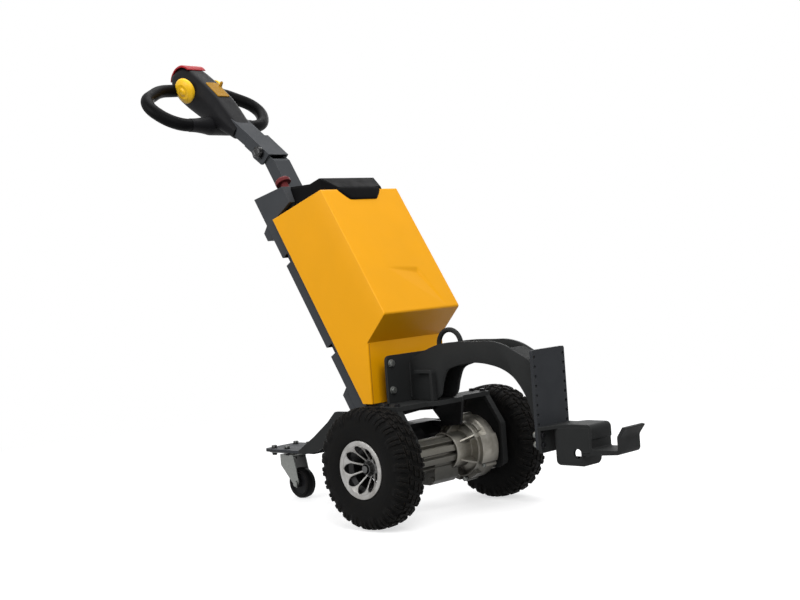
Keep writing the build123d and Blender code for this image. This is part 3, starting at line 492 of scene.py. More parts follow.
# %% Finishes of the solids
COATS = {
    ENAMEL: ["cover"],
    GREY_COAT: ["spine_housing", "spine_bracket_upper", "spine_bracket_lower", "mast", "arm"],
    CHARCOAL_COAT: [
        "bolt_plate", "bent_strap", "neck_right", "neck_left", "neck_web", "hitch_box", "hook",
        "lifting_ring", "hanger_right", "hanger_left", "deck_plate", "rear_arm",
    ],
    PLATE_COAT: ["drilled_plate", "castor_plate"],
    BLACK_COAT: ["drive_motor"],
    CAP_PLASTIC: ["top_cap"],
    BLACK_PLASTIC: ["clamp_bolt", "control_head", "castor_hub"],
    GRIP_RUBBER: ["loop_handle_right", "loop_handle_left"],
    YELLOW_PLASTIC: ["paddle_right", "paddle_left"],
    PANEL_PLASTIC: ["head_panel"],
    RED_PLASTIC: ["belly_switch"],
    DULL_RED: ["stop_button"],
    BATTERY_CASE: ["battery"],
    CAST_METAL: ["gear_drum"],
    SHADED_LOW_CAST: ["axle_tube"],
    RIM_METAL: ["rim_right", "rim_left"],
    ZINC: ["castor_top", "castor_axle"],
    FORK_ZINC: ["castor_fork"],
    DARK_STEEL: ["drive_shaft_right", "drive_shaft_left"],
    TYRE_RUBBER: ["tyre_right", "tyre_left"],
    CASTOR_RUBBER: ["castor_tyre"],
}
for coat, names in COATS.items():
    for name in names:
        solid = frame["nodes"][name]
        for slot in solid.material_slots:
            slot.material = coat
print("solids dressed:", sum(len(names) for names in COATS.values()), "of", len(frame["nodes"]))

# %% [markdown]
# ## Surfaces from arrays
# Every new piece below is a grid of points worked out with numpy: rows run along the piece and
# columns run round it. One function joins neighbours in a grid into faces, merges points that meet
# at a pole or a seam, turns all faces outwards and puts the piece on the body that it moves with.


# %% Grid to piece
def quads(rows, columns, closed_rows, open_columns=False):
    """Faces of a grid: each point with the next along and the next round, which closes rings."""
    down = np.arange(rows if closed_rows else rows - 1)[:, None]
    along = np.arange(columns - open_columns)[None, :]
    below, beside = (down + 1) % rows, (along + 1) % columns
    corners = [(down, along), (down, beside), (below, beside), (below, along)]
    numbers = [row * columns + column for row, column in corners]
    return np.stack(np.broadcast_arrays(*numbers), -1).reshape(-1, 4)


def piece(name, grids, coat, slot, body="chassis", closed_rows=False, sharp=40, sheet=0):
    """One object from grids (count, rows, columns, 3) in metres; a sheet is open, with a wall in mm."""
    grids = np.asarray(grids, float)
    grids = grids[None] if grids.ndim == 3 else grids
    count, rows, columns, _ = grids.shape
    faces = quads(rows, columns, closed_rows, sheet > 0)
    faces = (faces[None] + np.arange(count)[:, None, None] * rows * columns).reshape(-1, 4)
    mesh = bpy.data.meshes.new(name)
    mesh.from_pydata(grids.reshape(-1, 3).tolist(), [], faces.tolist())
    work = bmesh.new()
    work.from_mesh(mesh)
    bmesh.ops.remove_doubles(work, verts=work.verts, dist=2e-6)
    if not sheet:
        bmesh.ops.recalc_face_normals(work, faces=work.faces)
    work.to_mesh(mesh)
    work.free()
    mesh.materials.append(coat)
    mesh.shade_smooth()
    mesh.set_sharp_from_angle(angle=np.radians(sharp))
    made = bpy.data.objects.new(name, mesh)
    bpy.context.scene.collection.objects.link(made)
    if sheet:
        loop_edges = np.zeros(len(mesh.loops), int)
        mesh.loops.foreach_get("edge_index", loop_edges)
        for rim_edge in np.flatnonzero(np.bincount(loop_edges) == 1):
            mesh.edges[int(rim_edge)].use_edge_sharp = True
        wall = made.modifiers.new("wall", "SOLIDIFY")
        wall.thickness, wall.offset = 0.001 * sheet, -1
    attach(made, body)
    print(name, "faces:", len(mesh.polygons))
    return made


def capped(grid, both=True):
    """A grid with a row before it, and one after it, whose points all lie at the end ring's mean."""
    ends = np.repeat(grid[..., [0, -1], :, :].mean(-2, keepdims=True), grid.shape[-2], -2)
    return np.concatenate([ends[..., :1, :, :], grid, ends[..., 1 if both else 2 :, :, :]], -3)


def full_turn(steps):
    """Angles that go once round, as one row."""
    return np.linspace(0, 2 * np.pi, steps, endpoint=False)[None, :]


def turned(radius, angle, height):
    """Rings round +Z: X = radius times cosine, Y = radius times sine, Z = height."""
    return np.stack(np.broadcast_arrays(radius * np.cos(angle), radius * np.sin(angle), height), -1)


def round_axle(radius, angle, across):
    """The same round the axle line, which runs across the machine above the floor."""
    points = turned(radius, angle, across)[..., [0, 2, 1]]
    return placed(points + [0, 0, WHEEL_RADIUS])


def stood(local, places, direction):
    """Copies of a grid drawn along +Z in millimetres, each at a place and pointing one way."""
    ahead = unit(direction)
    side = unit(np.cross(ahead, [0.31, 0.24, 0.92] if abs(ahead[2]) < 0.9 else [1.0, 0.2, 0.0]))
    frame_rows = np.stack([side, np.cross(ahead, side), ahead])
    return np.atleast_2d(places)[:, None, None, :] + 0.001 * local @ frame_rows


def carried(path, across, radius, columns=10):
    """A ring carried along a planar path in metres: side = ahead x across, lift = side x ahead."""
    path = np.asarray(path, float)
    ahead = unit(np.gradient(path, axis=0))
    side = unit(np.cross(ahead, across))
    lift = np.cross(side, ahead)
    angle = full_turn(columns)[..., None]
    ring = np.cos(angle) * side[:, None] + np.sin(angle) * lift[:, None]
    body = path[:, None] + 0.001 * np.broadcast_to(radius, len(path))[:, None, None] * ring
    tips = np.repeat(path[[0, -1]][:, None], columns, axis=1)
    return np.concatenate([tips[:1], body, tips[1:]])


# %% [markdown]
# ## Cover
# The cover is one bent sheet, open behind and below: a foot, an undercut, a long front face, and a
# head. The front has a corner pressed into it, whose sides slope down at different angles. The sheet
# is a grid: rows follow the side view's outline from foot to head, columns run from one back edge
# over the side, the front and the other side. The pressed corner and the seam push it inwards, and a
# Solidify modifier turns the surface into sheet metal.

# %% Rows and columns of the cover
OUTLINE = np.array([(-82, 301), (-82, 461), (-11, 535), (-215.1, 872.0), (-421.1, 806.5)])
BACK_FOOT, BACK_HEAD = np.array([-115, 301]), OUTLINE[-1]
HALF_COVER, CORNER, BEND, BEND_STEPS, FOOT_ROWS = 143.4, 2.5, 6.0, 7, 40
SEAM_WIDTH, SEAM_DEPTH = 1.4, 0.9


def rounded_bend(before, corner, after):
    """An arc that rounds a corner, and its two ends: radius times tan of half the turn away."""
    come, go = unit(corner - before), unit(after - corner)
    half = np.arccos(np.clip(come @ go, -1, 1)) / 2
    start, end = corner - come * BEND * np.tan(half), corner + go * BEND * np.tan(half)
    middle = corner + unit(go - come) * BEND / np.cos(half)
    share = np.linspace(-half, half, BEND_STEPS)[:, None]
    outward, onward = unit(come - go), unit(come + go)
    return middle + BEND * (np.cos(share) * outward + np.sin(share) * onward), start, end


foot, shin, belly, brow, head = OUTLINE
belly_arc, belly_in, belly_out = rounded_bend(shin, belly, brow)
brow_arc, brow_in, brow_out = rounded_bend(belly, brow, head)
outline = np.concatenate([
    np.linspace(foot, shin, FOOT_ROWS), np.linspace(shin, belly_in, 20)[1:-1], belly_arc,
    np.linspace(belly_out, brow_in, 160)[1:-1], brow_arc, np.linspace(brow_out, head, 30)[1:],
])
foot_rows = np.arange(len(outline)) < FOOT_ROWS
up_mast, out_face = UP_MAST[[0, 2]], FACE_OUT[[0, 2]]
back = BACK_HEAD - BACK_FOOT
share_back = np.clip((outline - BACK_FOOT) @ up_mast / (back @ up_mast), 0, 1)[:, None]
back_line = BACK_FOOT + share_back * back
inner_front = HALF_COVER - CORNER
seam_steps = SEAM_Y + SEAM_WIDTH * np.array([-1, -0.5, 0, 0.5, 1])
even_y = np.linspace(-133.6, 133.6, 108)
front_y = np.concatenate([even_y, seam_steps, -seam_steps, [-inner_front, inner_front]])
front_y = np.unique(np.round(front_y, 3))
arc = np.linspace(0, np.pi / 2, 5)[:-1]
corner_y, corner_in = inner_front + CORNER * np.cos(arc), CORNER * (1 - np.sin(arc))
print("cover rows:", len(outline), "front columns:", len(front_y))

# %% Cover sheet
PRESSED_SIDES = [
    # columns: start and end of a side as (across, up) on the front face, and its slope
    ((-54, 139), (61, 132), 0.34),
    ((61, 132), (101, 2), 0.55),
    ((101, 2), (-54, 139), 0.085),
]


def pressed_depth(across, up):
    """Depth under the front face: the least of three slopes, one from each side of a triangle."""
    depth = np.inf
    for start, end, slope in PRESSED_SIDES:
        run = np.subtract(end, start)
        inward = unit([run[1], -run[0]])
        from_side = (across - start[0]) * inward[0] + (up - start[1]) * inward[1]
        depth = np.minimum(depth, slope * from_side)
    return np.maximum(depth, 0)


from_face = outline - FACE_FOOT[[0, 2]]
on_front = np.abs(from_face @ out_face)[:, None] < 0.01
depth = pressed_depth(front_y[None, :], (from_face @ up_mast)[:, None]) * on_front
for _ in range(2):
    beside = depth[:-2, 1:-1] + depth[2:, 1:-1] + depth[1:-1, :-2] + depth[1:-1, 2:]
    depth[1:-1, 1:-1] = 0.5 * depth[1:-1, 1:-1] + 0.125 * beside
from_seam = np.abs(np.abs(front_y) - SEAM_Y)
groove = SEAM_DEPTH * np.clip(1 - from_seam / SEAM_WIDTH, 0, 1)[None, :] * foot_rows[:, None]
front_xz = outline[:, None] - depth[..., None] * out_face - groove[..., None] * np.array([1, 0])
to_back = back_line - outline
length_back = np.linalg.norm(to_back, axis=1, keepdims=True)
step_in = to_back / np.maximum(length_back, 1e-6)
room = np.minimum(1.0, length_back / CORNER)[:, None]
corner_xz = outline[:, None] + room * corner_in[None, :, None] * step_in[:, None]
side_share = np.array([1.0, 0.75, 0.5, 0.25])
side_xz = corner_xz[:, :1] + side_share[None, :, None] * (back_line[:, None] - corner_xz[:, :1])
near_y = np.concatenate([np.full(len(side_share), HALF_COVER), corner_y])
all_xz = np.concatenate([side_xz, corner_xz, front_xz, corner_xz[:, ::-1], side_xz[:, ::-1]], 1)
all_y = np.broadcast_to(np.concatenate([-near_y, front_y, near_y[::-1]]), all_xz.shape[:2])
sheet_points = placed(np.stack([all_xz[..., 0], all_y, all_xz[..., 1]], -1))
cover = piece("cover_sheet", sheet_points, ENAMEL, "yellow_paint", sharp=25, sheet=3.0)
front_face = min(cover.data.polygons, key=lambda face: (face.center - Vector(on_face(300, 0))).length)
print("front normal out of the face:", round(float(np.dot(front_face.normal, FACE_OUT)), 3))
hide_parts("cover")

# %% [markdown]
# ## Tyres
# The photograph shows a small pneumatic tyre with a knobbly tread: five rows of blocks, each with a
# slot cut in, shoulder lugs that run a little way down the wall, and a smooth bulging side wall.
# Modelled lug by lug, that is hundreds of solids. Here it is one closed surface: the tyre's section
# carried round the axle, and pushed out along its own normal wherever the tread pattern has a block.


# %% Tread pattern
PITCHES = 26
ROUND_STEPS = PITCHES * 22
LUG_HEIGHT, ROW_SOFT, TURN_SOFT = 5.6, 1.3, 0.045
WALL = [  # across and radius of the tyre's half section, from the bead to the crown, millimetres
    (-36.0, 64.6), (-38.6, 68.0), (-39.0, 74.2), (-41.6, 77.6), (-43.6, 84.0), (-44.8, 94.0),
    (-45.2, 106.0), (-44.4, 118.0), (-42.8, 128.0), (-39.6, 136.6), (-34.6, 142.8), (-28.0, 146.4),
    (-18.0, 148.4), (0.0, 149.2),
]
LINING = np.array([(30, 64.6), (34, 100), (26, 136), (-26, 136), (-34, 100), (-30, 64.6)])


def block(value, low, high, soft):
    """1 between low and high, falling to 0 over a soft edge inside them."""
    return np.clip((value - low) / soft, 0, 1) * np.clip((high - value) / soft, 0, 1)


def tread_height(across, radius, turn_share):
    """Millimetres that the tread stands proud: rows of blocks less their slots, by place and turn."""
    side, inward = np.sign(across), np.abs(across)
    slant = turn_share * PITCHES + 0.006 * inward * side
    half_pitch = 0.5 * (side > 0)
    turn = (slant + 0.50) % 1
    middle = block(inward, -1, 7.0, ROW_SOFT) * block(turn, 0.13, 0.87, TURN_SOFT)
    middle *= 1 - 0.55 * block(turn, 0.46, 0.54, 0.03) * block(inward, -1, 4.5, 1)
    turn = (slant + 0.12 + half_pitch) % 1
    second = block(inward, 9.6, 20.5, ROW_SOFT) * block(turn, 0.14, 0.86, TURN_SOFT)
    second *= 1 - 0.6 * block(turn, 0.44, 0.56, 0.03) * block(inward, 13, 30, 1)
    turn = (slant + 0.36 + half_pitch) % 1
    long_lug = (np.floor(slant + 0.36 + half_pitch) % 2) == 0
    foot = np.where(long_lug, 117.0, 126.0)
    third = block(inward, 23.2, 60, ROW_SOFT) * block(turn, 0.17, 0.83, TURN_SOFT)
    third *= np.clip((radius - foot) / 9, 0, 1)
    third *= 1 - 0.75 * block(turn, 0.44, 0.56, 0.035) * np.clip((radius - 124) / 10, 0, 1)
    shoulder = np.interp(radius, [117, 132, 144], [1.6, 3.6, LUG_HEIGHT])
    return LUG_HEIGHT * middle + LUG_HEIGHT * second + third * shoulder


def tyre_grid(middle_y):
    """The section round the axle: outline point plus height times its normal, turned by each angle."""
    wall = np.array(WALL)
    outline = np.concatenate([wall, wall[-2::-1] * [-1, 1]])
    along = np.concatenate([[0], np.cumsum(np.linalg.norm(np.diff(outline, axis=0), axis=1))])
    even = np.linspace(0, along[-1], 118)
    across, radius = (np.interp(even, along, outline[:, k]) for k in (0, 1))
    soften = np.array([0.25, 0.5, 0.25])
    for _ in range(3):
        across[1:-1] = np.convolve(across, soften, "valid")
        radius[1:-1] = np.convolve(radius, soften, "valid")
    slope = np.stack([np.gradient(across), np.gradient(radius)], -1)
    normal = unit(np.stack([-slope[:, 1], slope[:, 0]], -1))
    turn_share = (np.arange(ROUND_STEPS) / ROUND_STEPS)[None, :]
    height = tread_height(across[:, None], radius[:, None], turn_share)
    ribs = 0.35 * block(radius, 79, 81.5, 0.8) + 0.3 * block(radius, 108, 110, 0.7)
    height = height + ribs[:, None]
    across_all = across[:, None] + normal[:, :1] * height
    radius_all = np.minimum(radius[:, None] + normal[:, 1:] * height, WHEEL_RADIUS)
    across_all = np.concatenate([across_all, np.repeat(LINING[:, :1], ROUND_STEPS, 1)])
    radius_all = np.concatenate([radius_all, np.repeat(LINING[:, 1:], ROUND_STEPS, 1)])
    return round_axle(radius_all, 2 * np.pi * turn_share, across_all + middle_y)


for side_name, middle_y in WHEELS:
    body, grid = f"wheel_{side_name}", tyre_grid(middle_y)
    knobbly = piece(f"knobbly_tyre_{side_name}", grid, TYRE_RUBBER, "tyre", body, True, 50)
    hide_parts(f"tyre_{side_name}")

# %% [markdown]
# ## Rims
# The rims are cast: a barrel with two lips, a hub, and nine thin spokes that run down a dish
# to the hub and leave petal windows between them. Cutting windows out of a disc is hard to do with
# a grid, so each spoke is its own grid: its width at each radius is the ninth part of the circle
# less the window's width there, and where the window ends, neighbours meet and close the ring.


# %% Rim sections
def about_axle(section, middle_y, side, steps=144):
    """A section of (radius, outboard) points turned about the axle line."""
    section = np.asarray(section, float)
    return round_axle(section[:, :1], full_turn(steps), middle_y + side * section[:, 1:])


BARREL = [
    (61.6, 42.6), (62.2, 43.2), (72.3, 43.2), (73.4, 42.7), (73.7, 41.6), (73.7, 38.2), (64.4, 37.0),
    (64.4, 23.2), (56, 16.2), (56, -16.2), (64.4, -23.2), (64.4, -37.0), (73.7, -38.2), (73.7, -41.6),
    (72.3, -43.2), (60, -43.2), (59, -37.0), (59, -25.2), (51, -16.2), (51, 16.2), (59.4, 25.2),
    (61.4, 36.0),
]
HUB = [
    (8.8, 23.2), (13.2, 23.2), (14, 22.4), (15.5, 14), (19, 9.5), (25, 8), (26, 0), (26, -35),
    (8.8, -35),
]
SPOKES = 9
WINDOW = np.array([  # radius and half width
    (17.5, 0), (18.5, 2.6), (20.5, 4.4), (24, 5.9), (30, 8.1), (38, 11.0), (44, 13.1), (48, 13.9),
    (52, 13.2), (56, 10.6), (58.8, 7.0), (60.4, 3.4), (61, 0),
])
SPOKE_SECTION = np.array([  # share of the half width, and depth under the face
    (-1, 1.0), (-0.7, 0.15), (0, 0), (0.7, 0.15), (1, 1.0), (1, 5.0), (0.7, 6), (-0.7, 6), (-1, 5.0),
])


def spokes(middle_y, side):
    """Nine closed bars: half width by radius = radius x pi/9 less the window's half width."""
    stretches = ((14.5, 24, 12), (26, 50, 10), (51, 62.4, 16))
    radius = np.concatenate([np.linspace(*stretch) for stretch in stretches])
    half = np.pi * radius / SPOKES - np.interp(radius, *WINDOW.T)
    turn = (half / radius)[:, None] * SPOKE_SECTION[None, :, 0]
    outboard = (41.6 - 0.8 * (60 - radius))[:, None] - SPOKE_SECTION[None, :, 1]
    turn = turn[None] + (np.arange(SPOKES) * 2 * np.pi / SPOKES)[:, None, None]
    return capped(round_axle(radius[None, :, None], turn, middle_y + side * outboard[None]))


# %% Rims on both wheels
SOCKET = [
    (0, 20.6), (3.6, 20.6), (3.8, 24.2), (4.4, 24.6), (7.4, 24.6), (8.0, 24.0), (8.2, 21.0), (0, 20.0),
]
for side_name, middle_y in WHEELS:
    side = np.sign(middle_y)
    body = f"wheel_{side_name}"
    grid = about_axle(BARREL, middle_y, side)
    barrel = piece(f"rim_barrel_{side_name}", grid, RIM_METAL, "cast_aluminium", body, True, 30)
    piece(f"rim_spokes_{side_name}", spokes(middle_y, side), RIM_METAL, "cast_aluminium", body)
    grid = about_axle(HUB, middle_y, side, 72)
    piece(f"rim_hub_{side_name}", grid, DARK_STEEL, "steel", body, True, 30)
    grid = about_axle(SOCKET, middle_y, side, 48)
    piece(f"shaft_socket_{side_name}", grid, DARK_STEEL, "steel", body, False, 30)
    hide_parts(f"rim_{side_name}")

# %% [markdown]
# ## Side plates of the tow frame
# Two thick plates sweep from the foot of the cover down to the drilled plate. A solid made of
# straight stretches shows its corners along the curve, so here the plate's upper and lower edges are
# smooth curves through the same points, and the plate is the strip between them with eased edges.


# %% A smooth curve through points
def smooth_line(points, count):
    """A curve through the points: each stretch is a cubic whose end slopes follow its neighbours."""
    points = np.asarray(points, float)
    knots = np.concatenate([[0], np.cumsum(np.linalg.norm(np.diff(points, axis=0), axis=1))])
    slopes = np.gradient(points, knots, axis=0)
    even = np.linspace(0, knots[-1], count)
    index = np.clip(np.searchsorted(knots, even, "right") - 1, 0, len(knots) - 2)
    gap = np.diff(knots)[index][:, None]
    share = (even - knots[index])[:, None] / gap
    rise = 3 * share**2 - 2 * share**3
    start_bow, end_bow = share**3 - 2 * share**2 + share, share**3 - share**2
    low = (1 - rise) * points[index] + start_bow * gap * slopes[index]
    return low + (rise * points[index + 1] + end_bow * gap * slopes[index + 1])


# %% Neck plates
NECK_TOP = [
    (-40, 405), (17, 430), (65, 445), (126, 451), (190, 451.5), (252, 450), (290, 440), (322, 424),
    (355, 407), (387.5, 380),
]
NECK_FOOT = [
    (-40, 300.5), (20, 300.5), (46, 301), (60, 312), (72, 345), (90, 378), (120, 389), (243, 391),
    (275, 382), (306, 365), (341, 323), (372, 240), (387.5, 210),
]
EASED = np.array([(0, 0.9), (0.2, 0.15), (0.9, 0), (7.1, 0), (7.8, 0.15), (8, 0.9)])


def strip_plate(top, foot, start_y, steps=72):
    """A plate between two curves in the side view, whose edges ease off across its thickness."""
    upper, lower = smooth_line(top, steps), smooth_line(foot, steps)
    along = unit(upper - lower)
    rim = upper[:, None] - along[:, None] * EASED[None, :, 1:]
    base = lower[:, None] + along[:, None] * EASED[None, ::-1, 1:]
    flat = np.concatenate([rim, base], 1)
    across = np.broadcast_to(start_y + np.concatenate([EASED[:, 0], EASED[::-1, 0]]), flat.shape[:2])
    return capped(placed(np.stack([flat[..., 0], across, flat[..., 1]], -1)))


for side_name, start_y in (("right", -36.0), ("left", 28.0)):
    grid = strip_plate(NECK_TOP, NECK_FOOT, start_y)
    neck = piece(f"neck_plate_{side_name}", grid, CHARCOAL_COAT, "charcoal_paint", sharp=35)
    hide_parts(f"neck_{side_name}")

# %% [markdown]
# ## Cap over the cover
# A black cap closes the cover's head. It is widest at the box behind it, rises to a ridge, and
# narrows as it falls to the front, where a tongue grips the sheet. The roof is five cross sections
# joined in order, after two thin ones that close the wedge under the box. The tongue is a thin tray
# shape that narrows toward its end, rounded at every edge.

# %% Cap roof
CAP_ROWS = np.array([  # along, half width and height of the roof line, then the same for its foot
    [(-415, 126, 810), (-415, 126, 807)], [(-356, 126, 847.5), (-352, 126, 826)],
    [(-379.5, 107, 892.5), (-343, 120, 829)], [(-300, 107, 893), (-300, 115.5, 843)],
    [(-266, 103, 905.5), (-256, 113, 857)], [(-259, 101.5, 905.3), (-250, 111.5, 859)],
    [(-215.5, 82, 877.5), (-214.5, 85, 868)],
])
ROOF_RING = np.array([  # share of the half width, and share of the way from the foot to the roof line
    (-1, 0), (-1, 0.90), (-0.975, 1), (-0.4, 1), (0.4, 1), (0.975, 1), (1, 0.90), (1, 0), (0.4, 0),
    (-0.4, 0),
])
roof_line, roof_foot = CAP_ROWS[:, :1], CAP_ROWS[:, 1:]
roof = roof_foot + ROOF_RING[None, :, 1:] * (roof_line - roof_foot)
roof[..., 1] *= ROOF_RING[:, 0]
cap = piece("cap_roof", capped(placed(roof)), CAP_PLASTIC, "black_plastic", sharp=15)
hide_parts("top_cap")

# %% Cap tongue
TONGUE = np.array([  # distance up the face, half width and stand-out at the middle, millimetres
    (400, 60, -6), (400, 74, -2), (399, 79, 2.0), (396, 81, 3.6), (388, 79.5, 4.0), (376, 69, 4.0),
    (366, 59, 4.0), (361, 54, 3.6), (358.5, 51, 2.2), (358, 50, -0.6),
])
TONGUE_MIDDLE, TONGUE_THICK, EDGE_DROP, EDGE_POWER = -5.0, 1.2, 4.6, 14
share_across = np.sin(np.linspace(-np.pi / 2, np.pi / 2, 29))
tongue_y = TONGUE[:, 1:2] * share_across + TONGUE_MIDDLE
tongue_out = TONGUE[:, 2:] - EDGE_DROP * np.abs(share_across) ** EDGE_POWER
across = np.concatenate([tongue_y, tongue_y[:, ::-1]], 1)
out = np.concatenate([tongue_out, np.full_like(tongue_out, -TONGUE_THICK)], 1)
piece("cap_lip", capped(on_face(TONGUE[:, :1], across, out)), CAP_PLASTIC, "black_plastic", sharp=50)

# %% [markdown]
# ## Bolts
# Hexagon screws with washers hold the bolt plate, the hitch, the castor, the near hanger, the deck
# and the drum. One grid makes them all: rings of a profile, each between a circle and a hexagon.


# %% Hexagon screws
def hexagon_screw(flats, height):
    """Rings up a washer and a head; each is a circle or, by its share, the hexagon round it."""
    rings = np.array([  # share of half the flats, height, share of the hexagon
        (0, 0, 0), (1.30, 0, 0), (1.38, 0.3, 0), (1.38, 1.5, 0), (1.28, 1.8, 0), (1, 1.8, 1),
        (1, height - 0.9, 1), (0.97, height, 0), (0.72, height + 0.1, 0), (0, height, 0),
    ])
    angle = full_turn(24)
    corner = 1 / np.cos((angle % (np.pi / 3)) - np.pi / 6)
    radius = 0.5 * flats * rings[:, :1] * (1 + rings[:, 2:] * (corner - 1))
    return turned(radius, angle, rings[:, 1:2])


AHEAD, UP = np.array([1, 0, 0]), np.array([0, 0, 1])
RIM_ANGLES = np.radians([92, 152, 212, 272, 328])
DRUM_PLACES = [(83 * np.cos(turn), 104, WHEEL_RADIUS + 83 * np.sin(turn)) for turn in RIM_ANGLES]
FLANGE_Y, FLANGE_Z = (-55.7, 55.7), (225.6, 202.3)
HANGER_PLACES = product((-50, 60), [-178], (200, 118))
CASTOR_XS, CASTOR_YS = (-610.5, -553.5), (-42, 42)
SCREWS = [
    # columns: name, finish, slot, flats, height, direction, places from the floor under the axle
    ("bolt_plate_screws", ZINC, "zinc", 15, 8.0, AHEAD, product([-41], (-104, 104), (334, 404))),
    ("hitch_flange_screws", BLACK_STEEL, "steel", 12, 7.0, AHEAD, product([404], FLANGE_Y, FLANGE_Z)),
    ("hitch_flange_nuts", ZINC, "zinc", 13, 8.0, -AHEAD, product([388], FLANGE_Y, FLANGE_Z)),
    ("castor_screws", BLACK_STEEL, "steel", 14, 8.0, UP, product(CASTOR_XS, CASTOR_YS, [150])),
    ("castor_nuts", BLACK_STEEL, "steel", 13, 7.5, -UP, product(CASTOR_XS, CASTOR_YS, [138])),
    ("hanger_screws_right", BLACK_STEEL, "steel", 13, 7.0, -ACROSS, HANGER_PLACES),
    ("deck_screws", BLACK_STEEL, "steel", 13, 7.0, UP, product((-8, 30), (-165, 165), [300])),
    ("drum_screws", ZINC, "zinc", 9, 6.0, -ACROSS, DRUM_PLACES),
]
for name, coat, slot, flats, height, direction, places in SCREWS:
    grids = stood(hexagon_screw(flats, height), placed(list(places)), direction)
    piece(name, grids, coat, slot, sharp=25)

# %% [markdown]
# ## Weld beads
# The tow frame is welded from plates. A weld is a bead of puddles laid one over the next, so a tube
# whose radius swells and shrinks along its path looks right, half sunk into the corner it fills.


# %% Weld beads
PUDDLE, BEAD_STEP = 4.0, 0.9


def bead(start, end, radius, across):
    """A tube whose radius is multiplied by 1 plus a small wave every puddle, less at both ends."""
    start, end = np.asarray(start, float), np.asarray(end, float)
    length = np.linalg.norm(end - start)
    share = np.linspace(0, 1, max(int(length / BEAD_STEP), 8))
    path = start + share[:, None] * (end - start)
    wave = 1 + 0.10 * np.sin(2 * np.pi * share * length / PUDDLE) - 0.3 * (np.abs(share - 0.5) > 0.49)
    return carried(placed(path), across, radius * wave, 8)


WELDS = [
    # columns: start, end, radius, a direction across the bead
    ((-40.5, -36.3, 306), (-40.5, -36.3, 401), 3.2, ACROSS),
    ((-40.5, 36.3, 306), (-40.5, 36.3, 401), 3.2, ACROSS),
    ((387.5, -36.3, 246), (387.5, -36.3, 376), 3.0, ACROSS),
    ((387.5, 36.3, 246), (387.5, 36.3, 376), 3.0, ACROSS),
    ((404.5, -58, 243.2), (404.5, 58, 243.2), 2.2, UP),
    ((505, -38.6, 184), (530, -38.6, 187), 2.2, ACROSS),
    ((505, 38.6, 184), (530, 38.6, 187), 2.2, ACROSS),
    ((510.0, -35, 176.4), (510.0, 35, 176.4), 2.6, UP),
    ((-158, -110, 300.4), (-158, 110, 300.4), 2.4, UP),
]
for number, (start, end, radius, across) in enumerate(WELDS):
    grid = bead(start, end, radius, across)
    piece(f"weld_bead_{number}", grid, CHARCOAL_COAT, "charcoal_paint", sharp=60)

# %% [markdown]
# ## Control head
# The head is one soft moulding: narrower toward its top, flat where the panel sits, and round at
# the nose. Such a shape is a loft: one rounded outline is stretched between an upper and a lower
# curve in the side view, ring after ring, until both curves meet at the nose and close it.


# %% Head loft
HEAD_TOP = [
    (132, 14), (180, 24), (225, 35), (262, 43), (300, 47.5), (338, 50), (385, 51), (425, 49.5),
    (452, 42), (469, 26), (476, 10), (478, -2),
]
HEAD_FOOT = [
    (132, -28), (200, -36), (260, -44), (320, -49), (375, -51), (418, -48.5), (450, -38), (468, -24),
    (476, -12), (478, -2),
]
HEAD_OUTLINE = np.array([
    (-32, 50), (32, 50), (46, 15), (46, -28), (37, -50), (-37, -50), (-46, -28), (-46, 15), (-32, 50),
])
HEAD_NARROW = np.array([(132, 0.82), (160, 0.86), (215, 1.0), (440, 1.0), (466, 0.94), (478, 0.84)])


def rounded_ring(outline, count, passes):
    """A closed outline walked in even steps, then each point averaged with its neighbours."""
    walk = np.concatenate([[0], np.cumsum(np.linalg.norm(np.diff(outline, axis=0), axis=1))])
    even = np.linspace(0, walk[-1], count, endpoint=False)
    ring = np.stack([np.interp(even, walk, outline[:, k]) for k in (0, 1)], -1)
    for _ in range(passes):
        ring = 0.5 * ring + 0.25 * (np.roll(ring, 1, 0) + np.roll(ring, -1, 0))
    return ring


ring = rounded_ring(HEAD_OUTLINE, 88, 9)
upper, lower = smooth_line(HEAD_TOP, 80), smooth_line(HEAD_FOOT, 80)
share_up = (ring[:, 1] / 100 + 0.5)[None, :, None]
side_view = lower[:, None] + share_up * (upper - lower)[:, None]
narrow = np.interp(upper[:, 0], *HEAD_NARROW.T)
head_points = on_arm(side_view[..., 0], ring[None, :, 0] * narrow[:, None], side_view[..., 1])
head_points = capped(head_points, both=False)
head = piece("head_moulding", head_points, BLACK_PLASTIC, "black_plastic", "control_arm", sharp=60)
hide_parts("control_head")

# %% [markdown]
# ## Switch round the nose
# The red belly switch stops the machine if it is pushed against the person. It is a strip that
# follows the nose, so its path is the head's own side view, stepped outwards along its normal.

# %% Belly switch
NOSE = [(421, 50.2), (438, 48.5), (453, 42), (465, 31), (473, 19), (477.5, 6), (478.4, -6), (475, -20)]
NOSE_STEPS, GROWING_STEPS, STRIP_FOOT = 44, 15, 0.2
STRIP = np.array([  # across and above the head's skin
    (-40, 0.2), (-40, 5.0), (-38.4, 6.6), (-35, 7.6), (35, 7.6), (38.4, 6.6), (40, 5.0), (40, 0.2),
])
nose = smooth_line(NOSE, NOSE_STEPS)
outward = unit(np.gradient(nose, axis=0))[:, ::-1] * [1, -1]
outward = outward * np.sign(outward[:, :1] + outward[:, 1:] + 1e-9)
from_end = np.minimum(np.arange(NOSE_STEPS), np.arange(NOSE_STEPS)[::-1])
grown = 0.25 + 0.75 * np.sqrt(np.clip(from_end / GROWING_STEPS, 0, 1))[:, None]
height = STRIP_FOOT + (STRIP[None, :, 1] - STRIP_FOOT) * grown
strip_view = nose[:, None] + height[..., None] * outward[:, None]
strip_across = STRIP[None, :, 0] * np.interp(nose[:, 0], [420, 450, 478], [0.84, 0.97, 0.92])[:, None]
strip_points = capped(on_arm(strip_view[..., 0], strip_across, strip_view[..., 1]))
